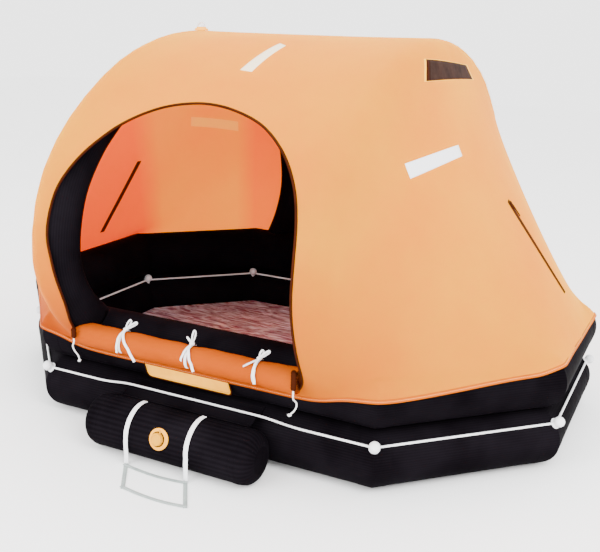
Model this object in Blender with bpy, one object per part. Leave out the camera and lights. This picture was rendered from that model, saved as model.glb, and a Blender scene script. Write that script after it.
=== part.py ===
"""Life raft: two stacked octagonal tubes, a hooped canopy, a boarding float and a webbing ladder.

Metres, +Z up. The origin is the middle of the raft's underside, where it stands on a floor.
The long side with the entrance faces -Y, and the raft's length runs along X.
"""
import math

import bmesh
import bpy
from mathutils import Matrix, Vector
from mathutils.geometry import intersect_point_line

# Clearances between pieces that touch
GAP = 0.0004
CLOTH = 0.003

# Buoyancy tubes
TUBE_R = 0.100
HALF_LENGTH = 0.998
HALF_WIDTH = 0.681
CHAMFER = 0.404
TUBE_SIDES = 24
TUBE_FACET = 0.0005
LOWER_Z = TUBE_R
UPPER_Z = 3.0 * TUBE_R + GAP

# Canopy hoops: half of the centreline in a hoop's own plane, (distance from the middle, height)
HOOP_R = 0.075
HOOP_X = 0.469
HOOP_SIDES = 16
HOOP_HALF = (
    (0.681, 0.320),
    (0.812, 0.460),
    (0.872, 0.620),
    (0.838, 0.815),
    (0.740, 0.965),
    (0.592, 1.090),
    (0.420, 1.186),
    (0.215, 1.248),
)
HOOP_TOP = 1.268
ROOF_HALF = HOOP_HALF[-1][0]

# Canopy: the end panels hang in by SAG of the span between a hoop and the tube
HEM_Z = 0.286
SEAM = 0.0002
SAG = 0.078
SAG_CUTS = (0.560, 0.620, 0.700, 0.780, 0.860, 0.940, 1.010)
SAG_HOOP_KEEP = 1.06
SAG_TUBE_KEEP = 1.10
CORNER_SEAM_AT_HOOP = 0.500
CORNER_SEAM_SLOPE = 0.286

# Entrance in the front wall: straight sides under a rounded top
ENTRANCE_LOW_Z = 0.305
ENTRANCE_FOOT_LEFT = -0.456
ENTRANCE_WAIST = (-0.408, 0.500)
ENTRANCE_LEFT = -0.440
ENTRANCE_RIGHT = 0.428
ENTRANCE_SHOULDER_Z = 0.750
ENTRANCE_TOP_Z = 1.132
ENTRANCE_ROUNDNESS = 2.2
ENTRANCE_ARC_STEPS = 16

# Rolled entrance flap on the tube's shoulder
ROLL_R = 0.042
ROLL_PRESS = 0.004
ROLL_ANGLE = 21.0
ROLL_SIDES = 12
ROLL_MARGIN = 0.004
TIE_XS = (-0.250, 0.010, 0.255)
TIE_WIDTH = 0.014
TIE_BAND = 0.002
TIE_TAIL_LEANS = ((-0.1, 1.4), (-0.2, 0.8), (-0.6, 0.4))
TIE_TAIL_END = 205.0
KNOT_R = 0.012
KNOT_ANGLE = 125.0

# Pull cords of the entrance: toggle middle (x, z), toggle length, and the cord's route (x, y, z)
TOGGLE_R = 0.009
CORD_R = 0.0025
PULL_CORDS = {
    "left": (
        (-0.425, 0.366),
        0.036,
        (
            (-0.425, -0.8620, 0.3472),
            (-0.425, -0.8620, 0.3350),
            (-0.430, -0.8560, 0.3150),
            (-0.428, -0.8420, 0.2950),
            (-0.418, -0.8270, 0.2760),
            (-0.410, -0.8180, 0.2580),
        ),
    ),
    "right": (
        (0.400, 0.372),
        0.064,
        (
            (0.400, -0.8620, 0.3392),
            (0.400, -0.8620, 0.3260),
            (0.388, -0.8360, 0.3000),
            (0.386, -0.8090, 0.2760),
            (0.378, -0.7940, 0.2530),
            (0.366, -0.7890, 0.2340),
            (0.350, -0.7885, 0.2170),
        ),
    ),
}

# Floor
FLOOR_SHEET = 0.004
FLOOR_SHEET_INSET = 0.030
MAT_TOP = 0.066
MAT_INSET = 0.0975

# Boarding float and its hinge
FLOAT_R = 0.088
FLOAT_HALF = 0.325
FLOAT_X = -0.010
FLOAT_Y = -(HALF_WIDTH + TUBE_R + FLOAT_R + GAP)
FLOAT_Z = FLOAT_R
FLOAT_ROUND = 0.050
HINGE_Y = -(HALF_WIDTH + TUBE_R + GAP / 2.0)
HINGE_Z = 0.178
HINGE_WEB = 0.0025
HINGE_HALF = 0.250
HINGE_PLAY = 0.0015
HINGE_TOP = 66.0
HINGE_LOW = 55.0

# Webbing straps and ladder
STRAP_XS = (-0.145, 0.083)
STRAP_WIDTH = 0.022
STRAP_THICK = 0.002
STRAP_REACH = FLOAT_R / math.cos(math.pi / TUBE_SIDES) + GAP + STRAP_THICK / 2.0
STRAP_Y = FLOAT_Y - STRAP_REACH
LADDER_THICK = 0.003
LADDER_PIVOT_Z = LADDER_THICK + 0.0003
LADDER_NEAR_Y = STRAP_Y - STRAP_THICK / 2.0 - 0.0004
LADDER_REACH = 0.128
LADDER_SKEW = 0.085
RUNG_WIDTH = 0.022

# Lifelines: angle above the tube's equator
ROPE_R = 0.004
ROPE_SIDES = 8
OUTER_LINE_ANGLE = 39.5
INNER_LINE_ANGLE = 57.0
KNOB_R = 0.014

# Vents: a zipped slit in each end of the canopy, its top and its low end (x, y) seen from above
VENTS = {
    "left": ((-0.742, -0.055), (-0.992, -0.005)),
    "right": ((0.758, 0.130), (0.988, 0.112)),
}
VENT_WIDTH = 0.012
VENT_THICK = 0.004
VENT_PULL = 0.022

# Small fittings
SIGN_X = (-0.190, 0.140)
SIGN_DROP = 0.052
SIGN_THICK = 0.003
VALVE_ANGLE = 161.0
VALVE_R = 0.030
LIGHT_R = 0.026
LAMP_LIFT = 0.0004


def clear_scene():
    """Remove everything that the scene holds."""
    for item in list(bpy.data.objects):
        bpy.data.objects.remove(item)


def material(name, colour, roughness, metallic=0.0):
    """A Principled material of one colour."""
    made = bpy.data.materials.new(name)
    made.use_nodes = True
    shader = made.node_tree.nodes["Principled BSDF"]
    shader.inputs["Base Color"].default_value = (*colour, 1.0)
    shader.inputs["Roughness"].default_value = roughness
    shader.inputs["Metallic"].default_value = metallic
    return made


def add_object(name, bm, look):
    """Turn a bmesh into an object with its faces pointing out."""
    bmesh.ops.recalc_face_normals(bm, faces=bm.faces)
    mesh = bpy.data.meshes.new(name)
    bm.to_mesh(mesh)
    bm.free()
    mesh.shade_smooth()
    mesh.set_sharp_from_angle(angle=math.radians(35.0))
    made = bpy.data.objects.new(name, mesh)
    bpy.context.scene.collection.objects.link(made)
    if look is not None:
        mesh.materials.append(look)
    return made


def hide_cutter(cutter):
    """Mark an object as a cutter that isn't part of the raft."""
    cutter.hide_render = True
    cutter.display_type = "WIRE"
    return cutter


def boolean(target, other, operation):
    """Combine target with another object exactly."""
    step = target.modifiers.new(operation.lower(), "BOOLEAN")
    step.operation = operation
    step.solver = "EXACT"
    step.object = other


def octagon(offset, height):
    """Corners of the raft's octagon, moved out from the tube's centreline by offset."""
    x = HALF_LENGTH + offset
    y = HALF_WIDTH + offset
    cut = CHAMFER + offset * (2.0 - math.sqrt(2.0))
    right = [(x, -y + cut), (x, y - cut), (x - cut, y)]
    left = [(-x + cut, y), (-x, y - cut), (-x, -y + cut)]
    front = [(-x + cut, -y), (x - cut, -y)]
    return [Vector((px, py, height)) for px, py in right + left + front]


def flats_radius(radius, sides):
    """Corner radius of a many-sided section whose flats lie at the given radius."""
    return radius / math.cos(math.pi / sides)


def mitred_sections(path, side_axis, radius, sides, closed):
    """Rings of points round a flat path, each in the mitre plane of its corner."""
    side_axis = Vector(side_axis)
    count = len(path)
    rings = []
    for index, point in enumerate(path):
        normals = []
        if closed or index > 0:
            run = point - path[index - 1]
            normals.append(run.cross(side_axis).normalized())
        if closed or index < count - 1:
            run = path[(index + 1) % count] - point
            normals.append(run.cross(side_axis).normalized())
        out = sum(normals, Vector()).normalized()
        stretch = 1.0 / out.dot(normals[0])
        corner = flats_radius(radius, sides)
        ring = []
        for step in range(sides):
            angle = 2.0 * math.pi * (step + 0.5) / sides
            across = out * (corner * stretch * math.cos(angle))
            ring.append(point + across + side_axis * (corner * math.sin(angle)))
        rings.append(ring)
    return rings


def skin(rings, closed, capped=True):
    """A bmesh skin over rings of points, closed into a loop or capped at its ends."""
    bm = bmesh.new()
    rows = [[bm.verts.new(point) for point in ring] for ring in rings]
    sides = len(rows[0])
    spans = len(rows) if closed else len(rows) - 1
    for index in range(spans):
        here = rows[index]
        there = rows[(index + 1) % len(rows)]
        for step in range(sides):
            after = (step + 1) % sides
            bm.faces.new((here[step], here[after], there[after], there[step]))
    if not closed and capped:
        bm.faces.new(rows[0])
        bm.faces.new(rows[-1])
    return bm


def extrude_outline(points, shift):
    """A bmesh prism: a flat outline carried along shift."""
    bm = bmesh.new()
    near = [bm.verts.new(point) for point in points]
    far = [bm.verts.new(point + shift) for point in points]
    bm.faces.new(near)
    bm.faces.new(far)
    for index in range(len(points)):
        after = (index + 1) % len(points)
        bm.faces.new((near[index], near[after], far[after], far[index]))
    return bm


def ribbon(run, x, width, thickness):
    """A strap across X: a (y, z) centreline given a thickness and a width."""
    points = [Vector((0.0, y, z)) for y, z in run]
    left = []
    right = []
    for index, point in enumerate(points):
        before = points[max(index - 1, 0)]
        after = points[min(index + 1, len(points) - 1)]
        along = (after - before).normalized()
        across = Vector((0.0, -along.z, along.y)) * (thickness / 2.0)
        left.append(point + across)
        right.append(point - across)
    outline = left + right[::-1]
    start = Vector((x - width / 2.0, 0.0, 0.0))
    return extrude_outline([start + point for point in outline], Vector((width, 0.0, 0.0)))


def turned(profile, sides):
    """A bmesh turned about Z from (radius, height) pairs, flat at both ends."""
    rings = []
    for radius, height in profile:
        ring = []
        for step in range(sides):
            angle = 2.0 * math.pi * (step + 0.5) / sides
            ring.append(Vector((radius * math.cos(angle), radius * math.sin(angle), height)))
        rings.append(ring)
    return skin(rings, closed=False)


def on_circle(centre, radius, degrees):
    """A (y, z) point on a circle, its angle counted from +Y towards +Z."""
    angle = math.radians(degrees)
    return (centre[0] + radius * math.cos(angle), centre[1] + radius * math.sin(angle))


def hoop_path(x):
    """The centreline of one canopy hoop, from its front foot to its back foot."""
    front = [Vector((x, -out, height)) for out, height in HOOP_HALF]
    back = [Vector((x, out, height)) for out, height in reversed(HOOP_HALF)]
    return front + [Vector((x, 0.0, HOOP_TOP))] + back


def nearest_on(path, point, closed):
    """The point of a path that lies nearest to another point."""
    best = None
    for index in range(len(path) if closed else len(path) - 1):
        start = path[index]
        end = path[(index + 1) % len(path)]
        place, share = intersect_point_line(point, start, end)
        place = start.lerp(end, min(max(share, 0.0), 1.0))
        if best is None or (point - place).length < (point - best).length:
            best = place
    return best


def sag_shift(point, clearance):
    """How far a point of an end panel hangs in between its hoop and the upper tube."""
    side = math.copysign(HOOP_X, point.x)
    from_hoop = point - nearest_on(hoop_path(side), point, closed=False)
    from_tube = point - nearest_on(octagon(0.0, UPPER_Z), point, closed=True)
    hoop_gap = from_hoop.length - SAG_HOOP_KEEP * (HOOP_R + clearance)
    tube_gap = from_tube.length - SAG_TUBE_KEEP * (TUBE_R + clearance)
    if abs(point.x) <= HOOP_X or hoop_gap <= 0.0 or tube_gap <= 0.0:
        return Vector()
    inward = -(from_hoop.normalized() + from_tube.normalized()).normalized()
    return inward * (4.0 * SAG * hoop_gap * tube_gap / (hoop_gap + tube_gap))


def ring_object(name, look, height, radius, offset=0.0, sides=TUBE_SIDES):
    """A closed tube that follows the raft's octagon."""
    rings = mitred_sections(octagon(offset, height), (0, 0, 1), radius, sides, closed=True)
    return add_object(name, skin(rings, closed=True), look)


def hoop_object(name, x, radius, look):
    """One hoop as a tube with closed ends."""
    rings = mitred_sections(hoop_path(x), (1, 0, 0), radius, HOOP_SIDES, closed=False)
    return add_object(name, skin(rings, closed=False), look)


def cloth_volume(name, clearance, bottom):
    """Everything under a cloth over both hoops and the upper tube, hanging in at the ends."""
    bm = bmesh.new()
    for x in (-HOOP_X, HOOP_X):
        rings = mitred_sections(hoop_path(x), (1, 0, 0), HOOP_R + clearance, HOOP_SIDES, closed=False)
        for ring in rings[1:-1]:
            for point in ring:
                bm.verts.new(point)
    reach = TUBE_R + clearance
    for step in range(8):
        angle = math.radians(7.5 + 15.0 * step)
        if angle < math.pi / 2.0:
            out = flats_radius(reach, TUBE_SIDES) * math.cos(angle)
            up = flats_radius(reach, TUBE_SIDES) * math.sin(angle)
            for point in octagon(out, UPPER_Z + up):
                bm.verts.new(point)
    for point in octagon(reach, bottom):
        bm.verts.new(point)
    hull = bmesh.ops.convex_hull(bm, input=bm.verts)
    loose = set(hull["geom_interior"]) | set(hull["geom_unused"])
    inside = [item for item in loose if isinstance(item, bmesh.types.BMVert)]
    bmesh.ops.delete(bm, geom=inside, context="VERTS")
    for x in SAG_CUTS:
        for side in (-1.0, 1.0):
            whole = bm.verts[:] + bm.edges[:] + bm.faces[:]
            bmesh.ops.bisect_plane(bm, geom=whole, plane_co=(side * x, 0, 0), plane_no=(1, 0, 0))
    for vert in bm.verts:
        if vert.co.z > HEM_Z:
            vert.co += sag_shift(vert.co, clearance)
    bmesh.ops.triangulate(bm, faces=bm.faces)
    volume = hide_cutter(add_object(name, bm, None))
    for end, x in (("left", -HOOP_X), ("right", HOOP_X)):
        hoop = hoop_object(f"{name}_hoop_{end}", x, HOOP_R + clearance - SEAM, None)
        boolean(volume, hide_cutter(hoop), "UNION")
    ring = ring_object(f"{name}_ring", None, UPPER_Z, reach - SEAM)
    boolean(volume, hide_cutter(ring), "UNION")
    return volume


def cloth_layer(name, clearance, thickness):
    """A hidden shell that lies over the hoops and the tube at the given clearance."""
    layer = cloth_volume(name, clearance + thickness, HEM_Z - 0.0010)
    boolean(layer, cloth_volume(name + "_inside", clearance, HEM_Z - 0.0015), "DIFFERENCE")
    return layer


def entrance_outline():
    """The entrance seen from the front: a straight sill, straight sides and a round top."""
    middle = (ENTRANCE_LEFT + ENTRANCE_RIGHT) / 2.0
    half = (ENTRANCE_RIGHT - ENTRANCE_LEFT) / 2.0
    rise = ENTRANCE_TOP_Z - ENTRANCE_SHOULDER_Z
    points = [ENTRANCE_WAIST, (ENTRANCE_FOOT_LEFT, ENTRANCE_LOW_Z), (ENTRANCE_RIGHT, ENTRANCE_LOW_Z)]
    power = 2.0 / ENTRANCE_ROUNDNESS
    for step in range(ENTRANCE_ARC_STEPS + 1):
        angle = math.pi * step / ENTRANCE_ARC_STEPS
        across = math.copysign(abs(math.cos(angle)) ** power, math.cos(angle))
        up = abs(math.sin(angle)) ** power
        points.append((middle + half * across, ENTRANCE_SHOULDER_Z + rise * up))
    return points


def build_tubes(look):
    """Both buoyancy tubes."""
    ring_object("lower_tube", look, LOWER_Z, TUBE_R)
    ring_object("upper_tube", look, UPPER_Z, TUBE_R)


def build_hoops(look, seat):
    """Two canopy hoops whose feet are cut to sit on the upper tube."""
    for name, x in (("hoop_left", -HOOP_X), ("hoop_right", HOOP_X)):
        boolean(hoop_object(name, x, HOOP_R, look), seat, "DIFFERENCE")


def corner_seam(side_x, side_y, shift):
    """Two (x, y) points of the seam between an end panel and a corner panel, seen from above."""
    start = HOOP_X
    end = 1.4
    near = CORNER_SEAM_AT_HOOP + shift
    far = near - CORNER_SEAM_SLOPE * (end - start)
    return (side_x * start, side_y * near), (side_x * end, side_y * far)


def panel_regions():
    """Panel names with the plan outline that each one fills."""
    far = 2.0
    seam_x = HOOP_X - SEAM
    regions = {
        "canopy_front": [(-seam_x, -far), (seam_x, -far), (seam_x, -ROOF_HALF - SEAM), (-seam_x, -ROOF_HALF - SEAM)],
        "canopy_roof": [(-seam_x, -ROOF_HALF), (seam_x, -ROOF_HALF), (seam_x, ROOF_HALF), (-seam_x, ROOF_HALF)],
        "canopy_back": [(-seam_x, ROOF_HALF + SEAM), (seam_x, ROOF_HALF + SEAM), (seam_x, far), (-seam_x, far)],
    }
    for side_x, end in ((-1, "left"), (1, "right")):
        near_front, far_front = corner_seam(side_x, -1, 0.0)
        near_back, far_back = corner_seam(side_x, 1, 0.0)
        regions[f"canopy_end_{end}"] = [near_front, far_front, far_back, near_back]
        for side_y, face in ((-1, "front"), (1, "back")):
            near, out = corner_seam(side_x, side_y, 2.0 * SEAM)
            corner = [near, out, (out[0], side_y * far), (near[0], side_y * far)]
            regions[f"canopy_corner_{face}_{end}"] = corner
    return regions


def build_canopy(look):
    """Cloth panels stretched over the hoops and down to the hem on the upper tube."""
    cloth = cloth_layer("cloth_layer", GAP, CLOTH)
    outline = [Vector((x, -1.5, z)) for x, z in entrance_outline()]
    entrance = add_object("entrance_cutter", extrude_outline(outline, Vector((0, 1.2, 0))), None)
    hide_cutter(entrance)
    for name, plan in panel_regions().items():
        prism = extrude_outline([Vector((x, y, HEM_Z)) for x, y in plan], Vector((0, 0, 2.0)))
        panel = add_object(name, prism, look)
        boolean(panel, cloth, "INTERSECT")
        if name == "canopy_front":
            boolean(panel, entrance, "DIFFERENCE")


def build_vents(look):
    """A zipped vent strip with a thicker pull at its top end on each end of the canopy."""
    layer = cloth_layer("vent_layer", CLOTH + 2.0 * GAP, VENT_THICK)
    for end, ends in VENTS.items():
        top, low = (Vector((*point, HEM_Z)) for point in ends)
        run = (low - top).normalized()
        across = Vector((-run.y, run.x, 0.0)) * (VENT_WIDTH / 2.0)
        pull = top + run * (2.0 * VENT_PULL)
        plan = [top + 2.0 * across, pull + 2.0 * across, pull + across, low + across]
        plan += [low - across, pull - across, pull - 2.0 * across, top - 2.0 * across]
        strip = add_object(f"vent_{end}", extrude_outline(plan, Vector((0, 0, 1.0))), look)
        boolean(strip, layer, "INTERSECT")


def build_floor(sheet_look, mat_look):
    """The floor sheet under the lower tube, and the padded mat that lies on it."""
    outline = octagon(-FLOOR_SHEET_INSET, 0.0)
    add_object("floor_sheet", extrude_outline(outline, Vector((0, 0, FLOOR_SHEET))), sheet_look)
    bottom = FLOOR_SHEET + GAP
    outline = octagon(-MAT_INSET, bottom)
    add_object("floor_mat", extrude_outline(outline, Vector((0, 0, MAT_TOP - bottom))), mat_look)


def roll_centre():
    """The (y, z) of the rolled flap's axis, against the upper tube."""
    reach = TUBE_R + ROLL_R - ROLL_PRESS
    return on_circle((-HALF_WIDTH, UPPER_Z), reach, 180.0 - ROLL_ANGLE)


def build_door_roll(cloth_look, tie_look, seat):
    """The entrance flap rolled down and pressed on the tube, and the ribbon ties round it."""
    y, z = roll_centre()
    ends = (ENTRANCE_FOOT_LEFT + ROLL_MARGIN, ENTRANCE_RIGHT - ROLL_MARGIN)
    path = [Vector((x, y, z)) for x in ends]
    rings = mitred_sections(path, (0, 0, 1), ROLL_R, ROLL_SIDES, closed=False)
    lean = (ENTRANCE_WAIST[0] - ENTRANCE_FOOT_LEFT) / (ENTRANCE_WAIST[1] - ENTRANCE_LOW_Z)
    for point in rings[0]:
        point.x += lean * (point.z - ENTRANCE_LOW_Z)
    roll = add_object("door_roll", skin(rings, closed=False), cloth_look)
    boolean(roll, seat, "DIFFERENCE")
    for name, x in (("left", -HOOP_X), ("right", HOOP_X)):
        boolean(roll, hide_cutter(hoop_object(f"roll_{name}_cutter", x, HOOP_R + GAP, None)), "DIFFERENCE")
    reach = flats_radius(ROLL_R, ROLL_SIDES) + GAP + TIE_BAND / 2.0
    tail_reach = reach + 0.8 * TIE_BAND
    knot_y, knot_z = on_circle((y, z), reach, KNOT_ANGLE)
    turn = Matrix.Rotation(math.radians(KNOT_ANGLE - 90.0), 4, "X")
    for index, (x, leans) in enumerate(zip(TIE_XS, TIE_TAIL_LEANS), start=1):
        run = [on_circle((y, z), reach, degrees) for degrees in range(60, 241, 15)]
        tie = add_object(f"door_tie_{index}", ribbon(run, x, TIE_WIDTH, TIE_BAND), tie_look)
        knot = turned(((0.007, 0.0), (KNOT_R, 0.004), (KNOT_R, 0.009), (0.006, 0.013)), 8)
        place = Matrix.Translation((x, knot_y, knot_z)) @ turn
        bmesh.ops.transform(knot, matrix=place, verts=knot.verts)
        boolean(tie, hide_cutter(add_object(f"tie_knot_{index}", knot, None)), "UNION")
        for number, lean in enumerate(leans, start=1):
            steps = 7
            span = (TIE_TAIL_END - KNOT_ANGLE) / (steps - 1)
            run = [on_circle((y, z), tail_reach, KNOT_ANGLE + span * step) for step in range(steps)]
            tail = ribbon(run, x, 0.7 * TIE_WIDTH, TIE_BAND)
            for vert in tail.verts:
                vert.co.x += lean * (knot_z - vert.co.z)
            boolean(tie, hide_cutter(add_object(f"tie_tail_{index}_{number}", tail, None)), "UNION")


def smooth_route(points, steps):
    """A finer route through the given points, rounded at each of them."""
    knots = [Vector(point) for point in points]
    ends = [2.0 * knots[0] - knots[1]] + knots + [2.0 * knots[-1] - knots[-2]]
    route = []
    for index in range(1, len(ends) - 2):
        before, here, there, after = ends[index - 1:index + 3]
        for step in range(steps):
            t = step / steps
            bend = 2.0 * before - 5.0 * here + 4.0 * there - after
            swing = 3.0 * here - before - 3.0 * there + after
            route.append(here + 0.5 * (t * (there - before) + t * t * bend + t * t * t * swing))
    return route + [knots[-1]]


def build_pull_cords(toggle_look, cord_look):
    """A toggle and a free cord at each lower corner of the entrance."""
    roll_y = roll_centre()[0]
    sides = 12
    reach = ROLL_R + GAP + TOGGLE_R * math.cos(math.pi / sides)
    for side, ((x, z), length, points) in PULL_CORDS.items():
        waist = 0.6 * TOGGLE_R
        profile = (
            (waist, -length / 2.0),
            (TOGGLE_R, -0.3 * length),
            (TOGGLE_R, 0.3 * length),
            (waist, length / 2.0),
        )
        toggle = turned(profile, sides)
        bmesh.ops.translate(toggle, verts=toggle.verts, vec=(x, roll_y - reach, z))
        add_object(f"toggle_{side}", toggle, toggle_look)
        route = smooth_route(points, 2)
        curve = bpy.data.curves.new(f"pull_cord_{side}", "CURVE")
        curve.dimensions = "3D"
        curve.bevel_depth = CORD_R
        curve.bevel_resolution = 2
        curve.use_fill_caps = True
        spline = curve.splines.new("POLY")
        spline.points.add(len(route) - 1)
        for place, point in zip(spline.points, route):
            place.co = (*point, 1.0)
        curve.materials.append(cord_look)
        cord = bpy.data.objects.new(f"pull_cord_{side}", curve)
        bpy.context.scene.collection.objects.link(cord)


def build_sign(look):
    """The blank tab that hangs from the hem under the entrance."""
    y = -(HALF_WIDTH + TUBE_R + GAP)
    top = HEM_Z - GAP
    corner = 0.014
    left, right = SIGN_X
    low = top - SIGN_DROP
    outline = [(left, top), (right, top), (right, low + corner), (right - corner, low)]
    outline += [(left + corner, low), (left, low + corner)]
    points = [Vector((x, y, z)) for x, z in outline]
    add_object("boarding_sign", extrude_outline(points, Vector((0, -SIGN_THICK, 0))), look)


def build_lifeline(name, look, angle, side):
    """A rope round the lower tube with a moulded knob at each corner; side is 1 outside, -1 inside."""
    rise = math.radians(angle)
    rope_reach = TUBE_R + TUBE_FACET + flats_radius(ROPE_R, ROPE_SIDES) + GAP
    out = side * rope_reach * math.cos(rise)
    rope = ring_object(name, look, LOWER_Z + rope_reach * math.sin(rise), ROPE_R, out, ROPE_SIDES)
    knob_reach = flats_radius(TUBE_R, TUBE_SIDES) + KNOB_R + GAP
    out = side * knob_reach * math.cos(rise)
    bm = bmesh.new()
    for point in octagon(out, LOWER_Z + knob_reach * math.sin(rise)):
        made = bmesh.ops.create_icosphere(bm, subdivisions=2, radius=KNOB_R)
        bmesh.ops.translate(bm, verts=made["verts"], vec=point)
    boolean(rope, hide_cutter(add_object(name + "_knobs", bm, None)), "UNION")


def hinge_run(centre, radius, start, stop, play):
    """The (y, z) run of one hinge web: over its tube, then out to the hinge axis."""
    reach = flats_radius(radius, TUBE_SIDES) + GAP + HINGE_WEB / 2.0
    steps = 3
    run = []
    for step in range(steps):
        degrees = start + (stop - start) * step / (steps - 1)
        run.append(on_circle(centre, reach, degrees))
    run.append((HINGE_Y + play, HINGE_Z))
    return run


def parent_to(pieces, name, place):
    """Hang pieces on an empty that stands on their joint's axis."""
    pivot = bpy.data.objects.new(name, None)
    pivot.location = place
    bpy.context.scene.collection.objects.link(pivot)
    bpy.context.view_layer.update()
    for piece in pieces:
        piece.parent = pivot
        piece.matrix_parent_inverse = pivot.matrix_world.inverted()
    return pivot


def build_float(looks):
    """The boarding float with its hinge webs, valve and straps."""
    profile = []
    steps = 4
    for sign in (-1, 1):
        for step in range(steps + 1):
            turn = math.pi / 2.0 * (step / steps if sign < 0 else 1.0 - step / steps)
            x = sign * (FLOAT_HALF - FLOAT_ROUND + FLOAT_ROUND * math.cos(turn))
            profile.append((x, FLOAT_R - FLOAT_ROUND + FLOAT_ROUND * math.sin(turn)))
    rings = []
    for x, radius in profile:
        section = mitred_sections(
            [Vector((x, 0, 0)), Vector((x + 0.01, 0, 0))], (0, 0, 1), radius, TUBE_SIDES, closed=False
        )[0]
        rings.append([point + Vector((FLOAT_X, FLOAT_Y, FLOAT_Z)) for point in section])
    body = add_object("boarding_float", skin(rings, closed=False), looks["black"])

    tube_axis = (-HALF_WIDTH, LOWER_Z)
    tube_run = hinge_run(tube_axis, TUBE_R, 180.0 - HINGE_TOP, 180.0 - HINGE_LOW, HINGE_PLAY)
    float_run = hinge_run((FLOAT_Y, FLOAT_Z), FLOAT_R, HINGE_TOP, HINGE_LOW, -HINGE_PLAY)
    width = 2.0 * HINGE_HALF
    add_object("hinge_web_tube", ribbon(tube_run, FLOAT_X, width, HINGE_WEB), looks["black"])
    web = add_object("hinge_web_float", ribbon(float_run, FLOAT_X, width, HINGE_WEB), looks["black"])

    disc = turned(((VALVE_R, 0.0), (VALVE_R, 0.006), (0.018, 0.010), (0.016, 0.020)), 20)
    valve = add_object("float_valve", disc, looks["cream"])
    reach = flats_radius(FLOAT_R, TUBE_SIDES) + GAP
    y, z = on_circle((FLOAT_Y, FLOAT_Z), reach, VALVE_ANGLE)
    valve.location = (-0.020, y, z)
    valve.rotation_euler = (math.radians(VALVE_ANGLE - 90.0), 0.0, 0.0)

    moving = [body, web, valve]
    for side, x in zip(("left", "right"), STRAP_XS):
        run = [on_circle((FLOAT_Y, FLOAT_Z), STRAP_REACH, degrees) for degrees in range(76, 181, 8)]
        run.append((STRAP_Y, LADDER_PIVOT_Z))
        strap = ribbon(run, x, STRAP_WIDTH, STRAP_THICK)
        moving.append(add_object(f"ladder_strap_{side}", strap, looks["webbing"]))
    parent_to(moving, "float_hinge", (FLOAT_X, HINGE_Y, HINGE_Z))


def build_ladder(look):
    """The webbing ladder, lying on the floor in front of the float."""
    near = LADDER_NEAR_Y
    far = near - LADDER_REACH
    half = STRAP_WIDTH / 2.0
    left, right = STRAP_XS

    def at(x, y):
        return Vector((x + LADDER_SKEW * (near - y) / LADDER_REACH, y, 0.0))

    outer = [at(left - half, near), at(right + half, near), at(right + half, far), at(left - half, far)]
    inner_near = near - RUNG_WIDTH
    inner_far = far + RUNG_WIDTH
    inner = [at(left + half, inner_near), at(right - half, inner_near)]
    inner += [at(right - half, inner_far), at(left + half, inner_far)]
    bm = bmesh.new()
    levels = []
    for height in (0.0, LADDER_THICK):
        lift = Vector((0.0, 0.0, height))
        levels.append(([bm.verts.new(p + lift) for p in outer], [bm.verts.new(p + lift) for p in inner]))
    for outside, inside in levels:
        for index in range(4):
            after = (index + 1) % 4
            bm.faces.new((outside[index], outside[after], inside[after], inside[index]))
    for ring in range(2):
        low = levels[0][ring]
        high = levels[1][ring]
        for index in range(4):
            after = (index + 1) % 4
            bm.faces.new((low[index], low[after], high[after], high[index]))
    ladder = add_object("ladder", bm, look)
    middle = (STRAP_XS[0] + STRAP_XS[1]) / 2.0
    parent_to([ladder], "ladder_pivot", (middle, STRAP_Y, LADDER_PIVOT_Z))


def build_light(look):
    """The small lamp on top of the left hoop."""
    profile = ((LIGHT_R, 0.0), (LIGHT_R, 0.008), (0.018, 0.014), (0.016, 0.026), (0.008, 0.032))
    lamp = add_object("canopy_light", turned(profile, 16), look)
    lamp.location = (-HOOP_X, 0.0, HOOP_TOP + HOOP_R + GAP + CLOTH + LAMP_LIFT)


def main():
    """Build the whole raft."""
    clear_scene()
    looks = {
        "black": material("black_rubber", (0.020, 0.018, 0.020), 0.45),
        "orange": material("orange_cloth", (0.90, 0.42, 0.16), 0.55),
        "mat": material("pink_floor", (0.52, 0.22, 0.20), 0.40),
        "rope": material("white_rope", (0.85, 0.85, 0.83), 0.70),
        "webbing": material("white_webbing", (0.86, 0.86, 0.86), 0.75),
        "cream": material("cream_plastic", (0.93, 0.66, 0.30), 0.45),
        "zip": material("brown_zip", (0.20, 0.07, 0.05), 0.60),
        "lamp": material("clear_lamp", (0.90, 0.88, 0.84), 0.25),
    }
    build_tubes(looks["black"])
    seat = hide_cutter(ring_object("tube_seat_cutter", None, UPPER_Z, TUBE_R + GAP))
    build_hoops(looks["black"], seat)
    build_canopy(looks["orange"])
    build_vents(looks["zip"])
    build_floor(looks["black"], looks["mat"])
    build_door_roll(looks["orange"], looks["webbing"], seat)
    build_pull_cords(looks["zip"], looks["rope"])
    build_sign(looks["cream"])
    build_lifeline("lifeline_outer", looks["rope"], OUTER_LINE_ANGLE, 1)
    build_lifeline("lifeline_inner", looks["rope"], INNER_LINE_ANGLE, -1)
    build_float(looks)
    build_ladder(looks["webbing"])
    build_light(looks["lamp"])


main()
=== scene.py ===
"""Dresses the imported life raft: coated tubes, stretched canopy, rolled door, lines and boarding gear.

Metres, +Z up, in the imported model's own frame. The long side with the entrance faces -Y.
"""
import logging
from dataclasses import dataclass, field
from enum import Enum
from math import copysign, cos, exp, hypot, pi, radians, sin, sqrt

import bmesh
import bpy
import numpy as np
from bpy.types import ID, Material, Mesh, Node, NodeSocket, NodeTree, Object
from mathutils import Matrix, Vector, noise
from mathutils.bvhtree import BVHTree
from numpy import ndarray

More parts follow.
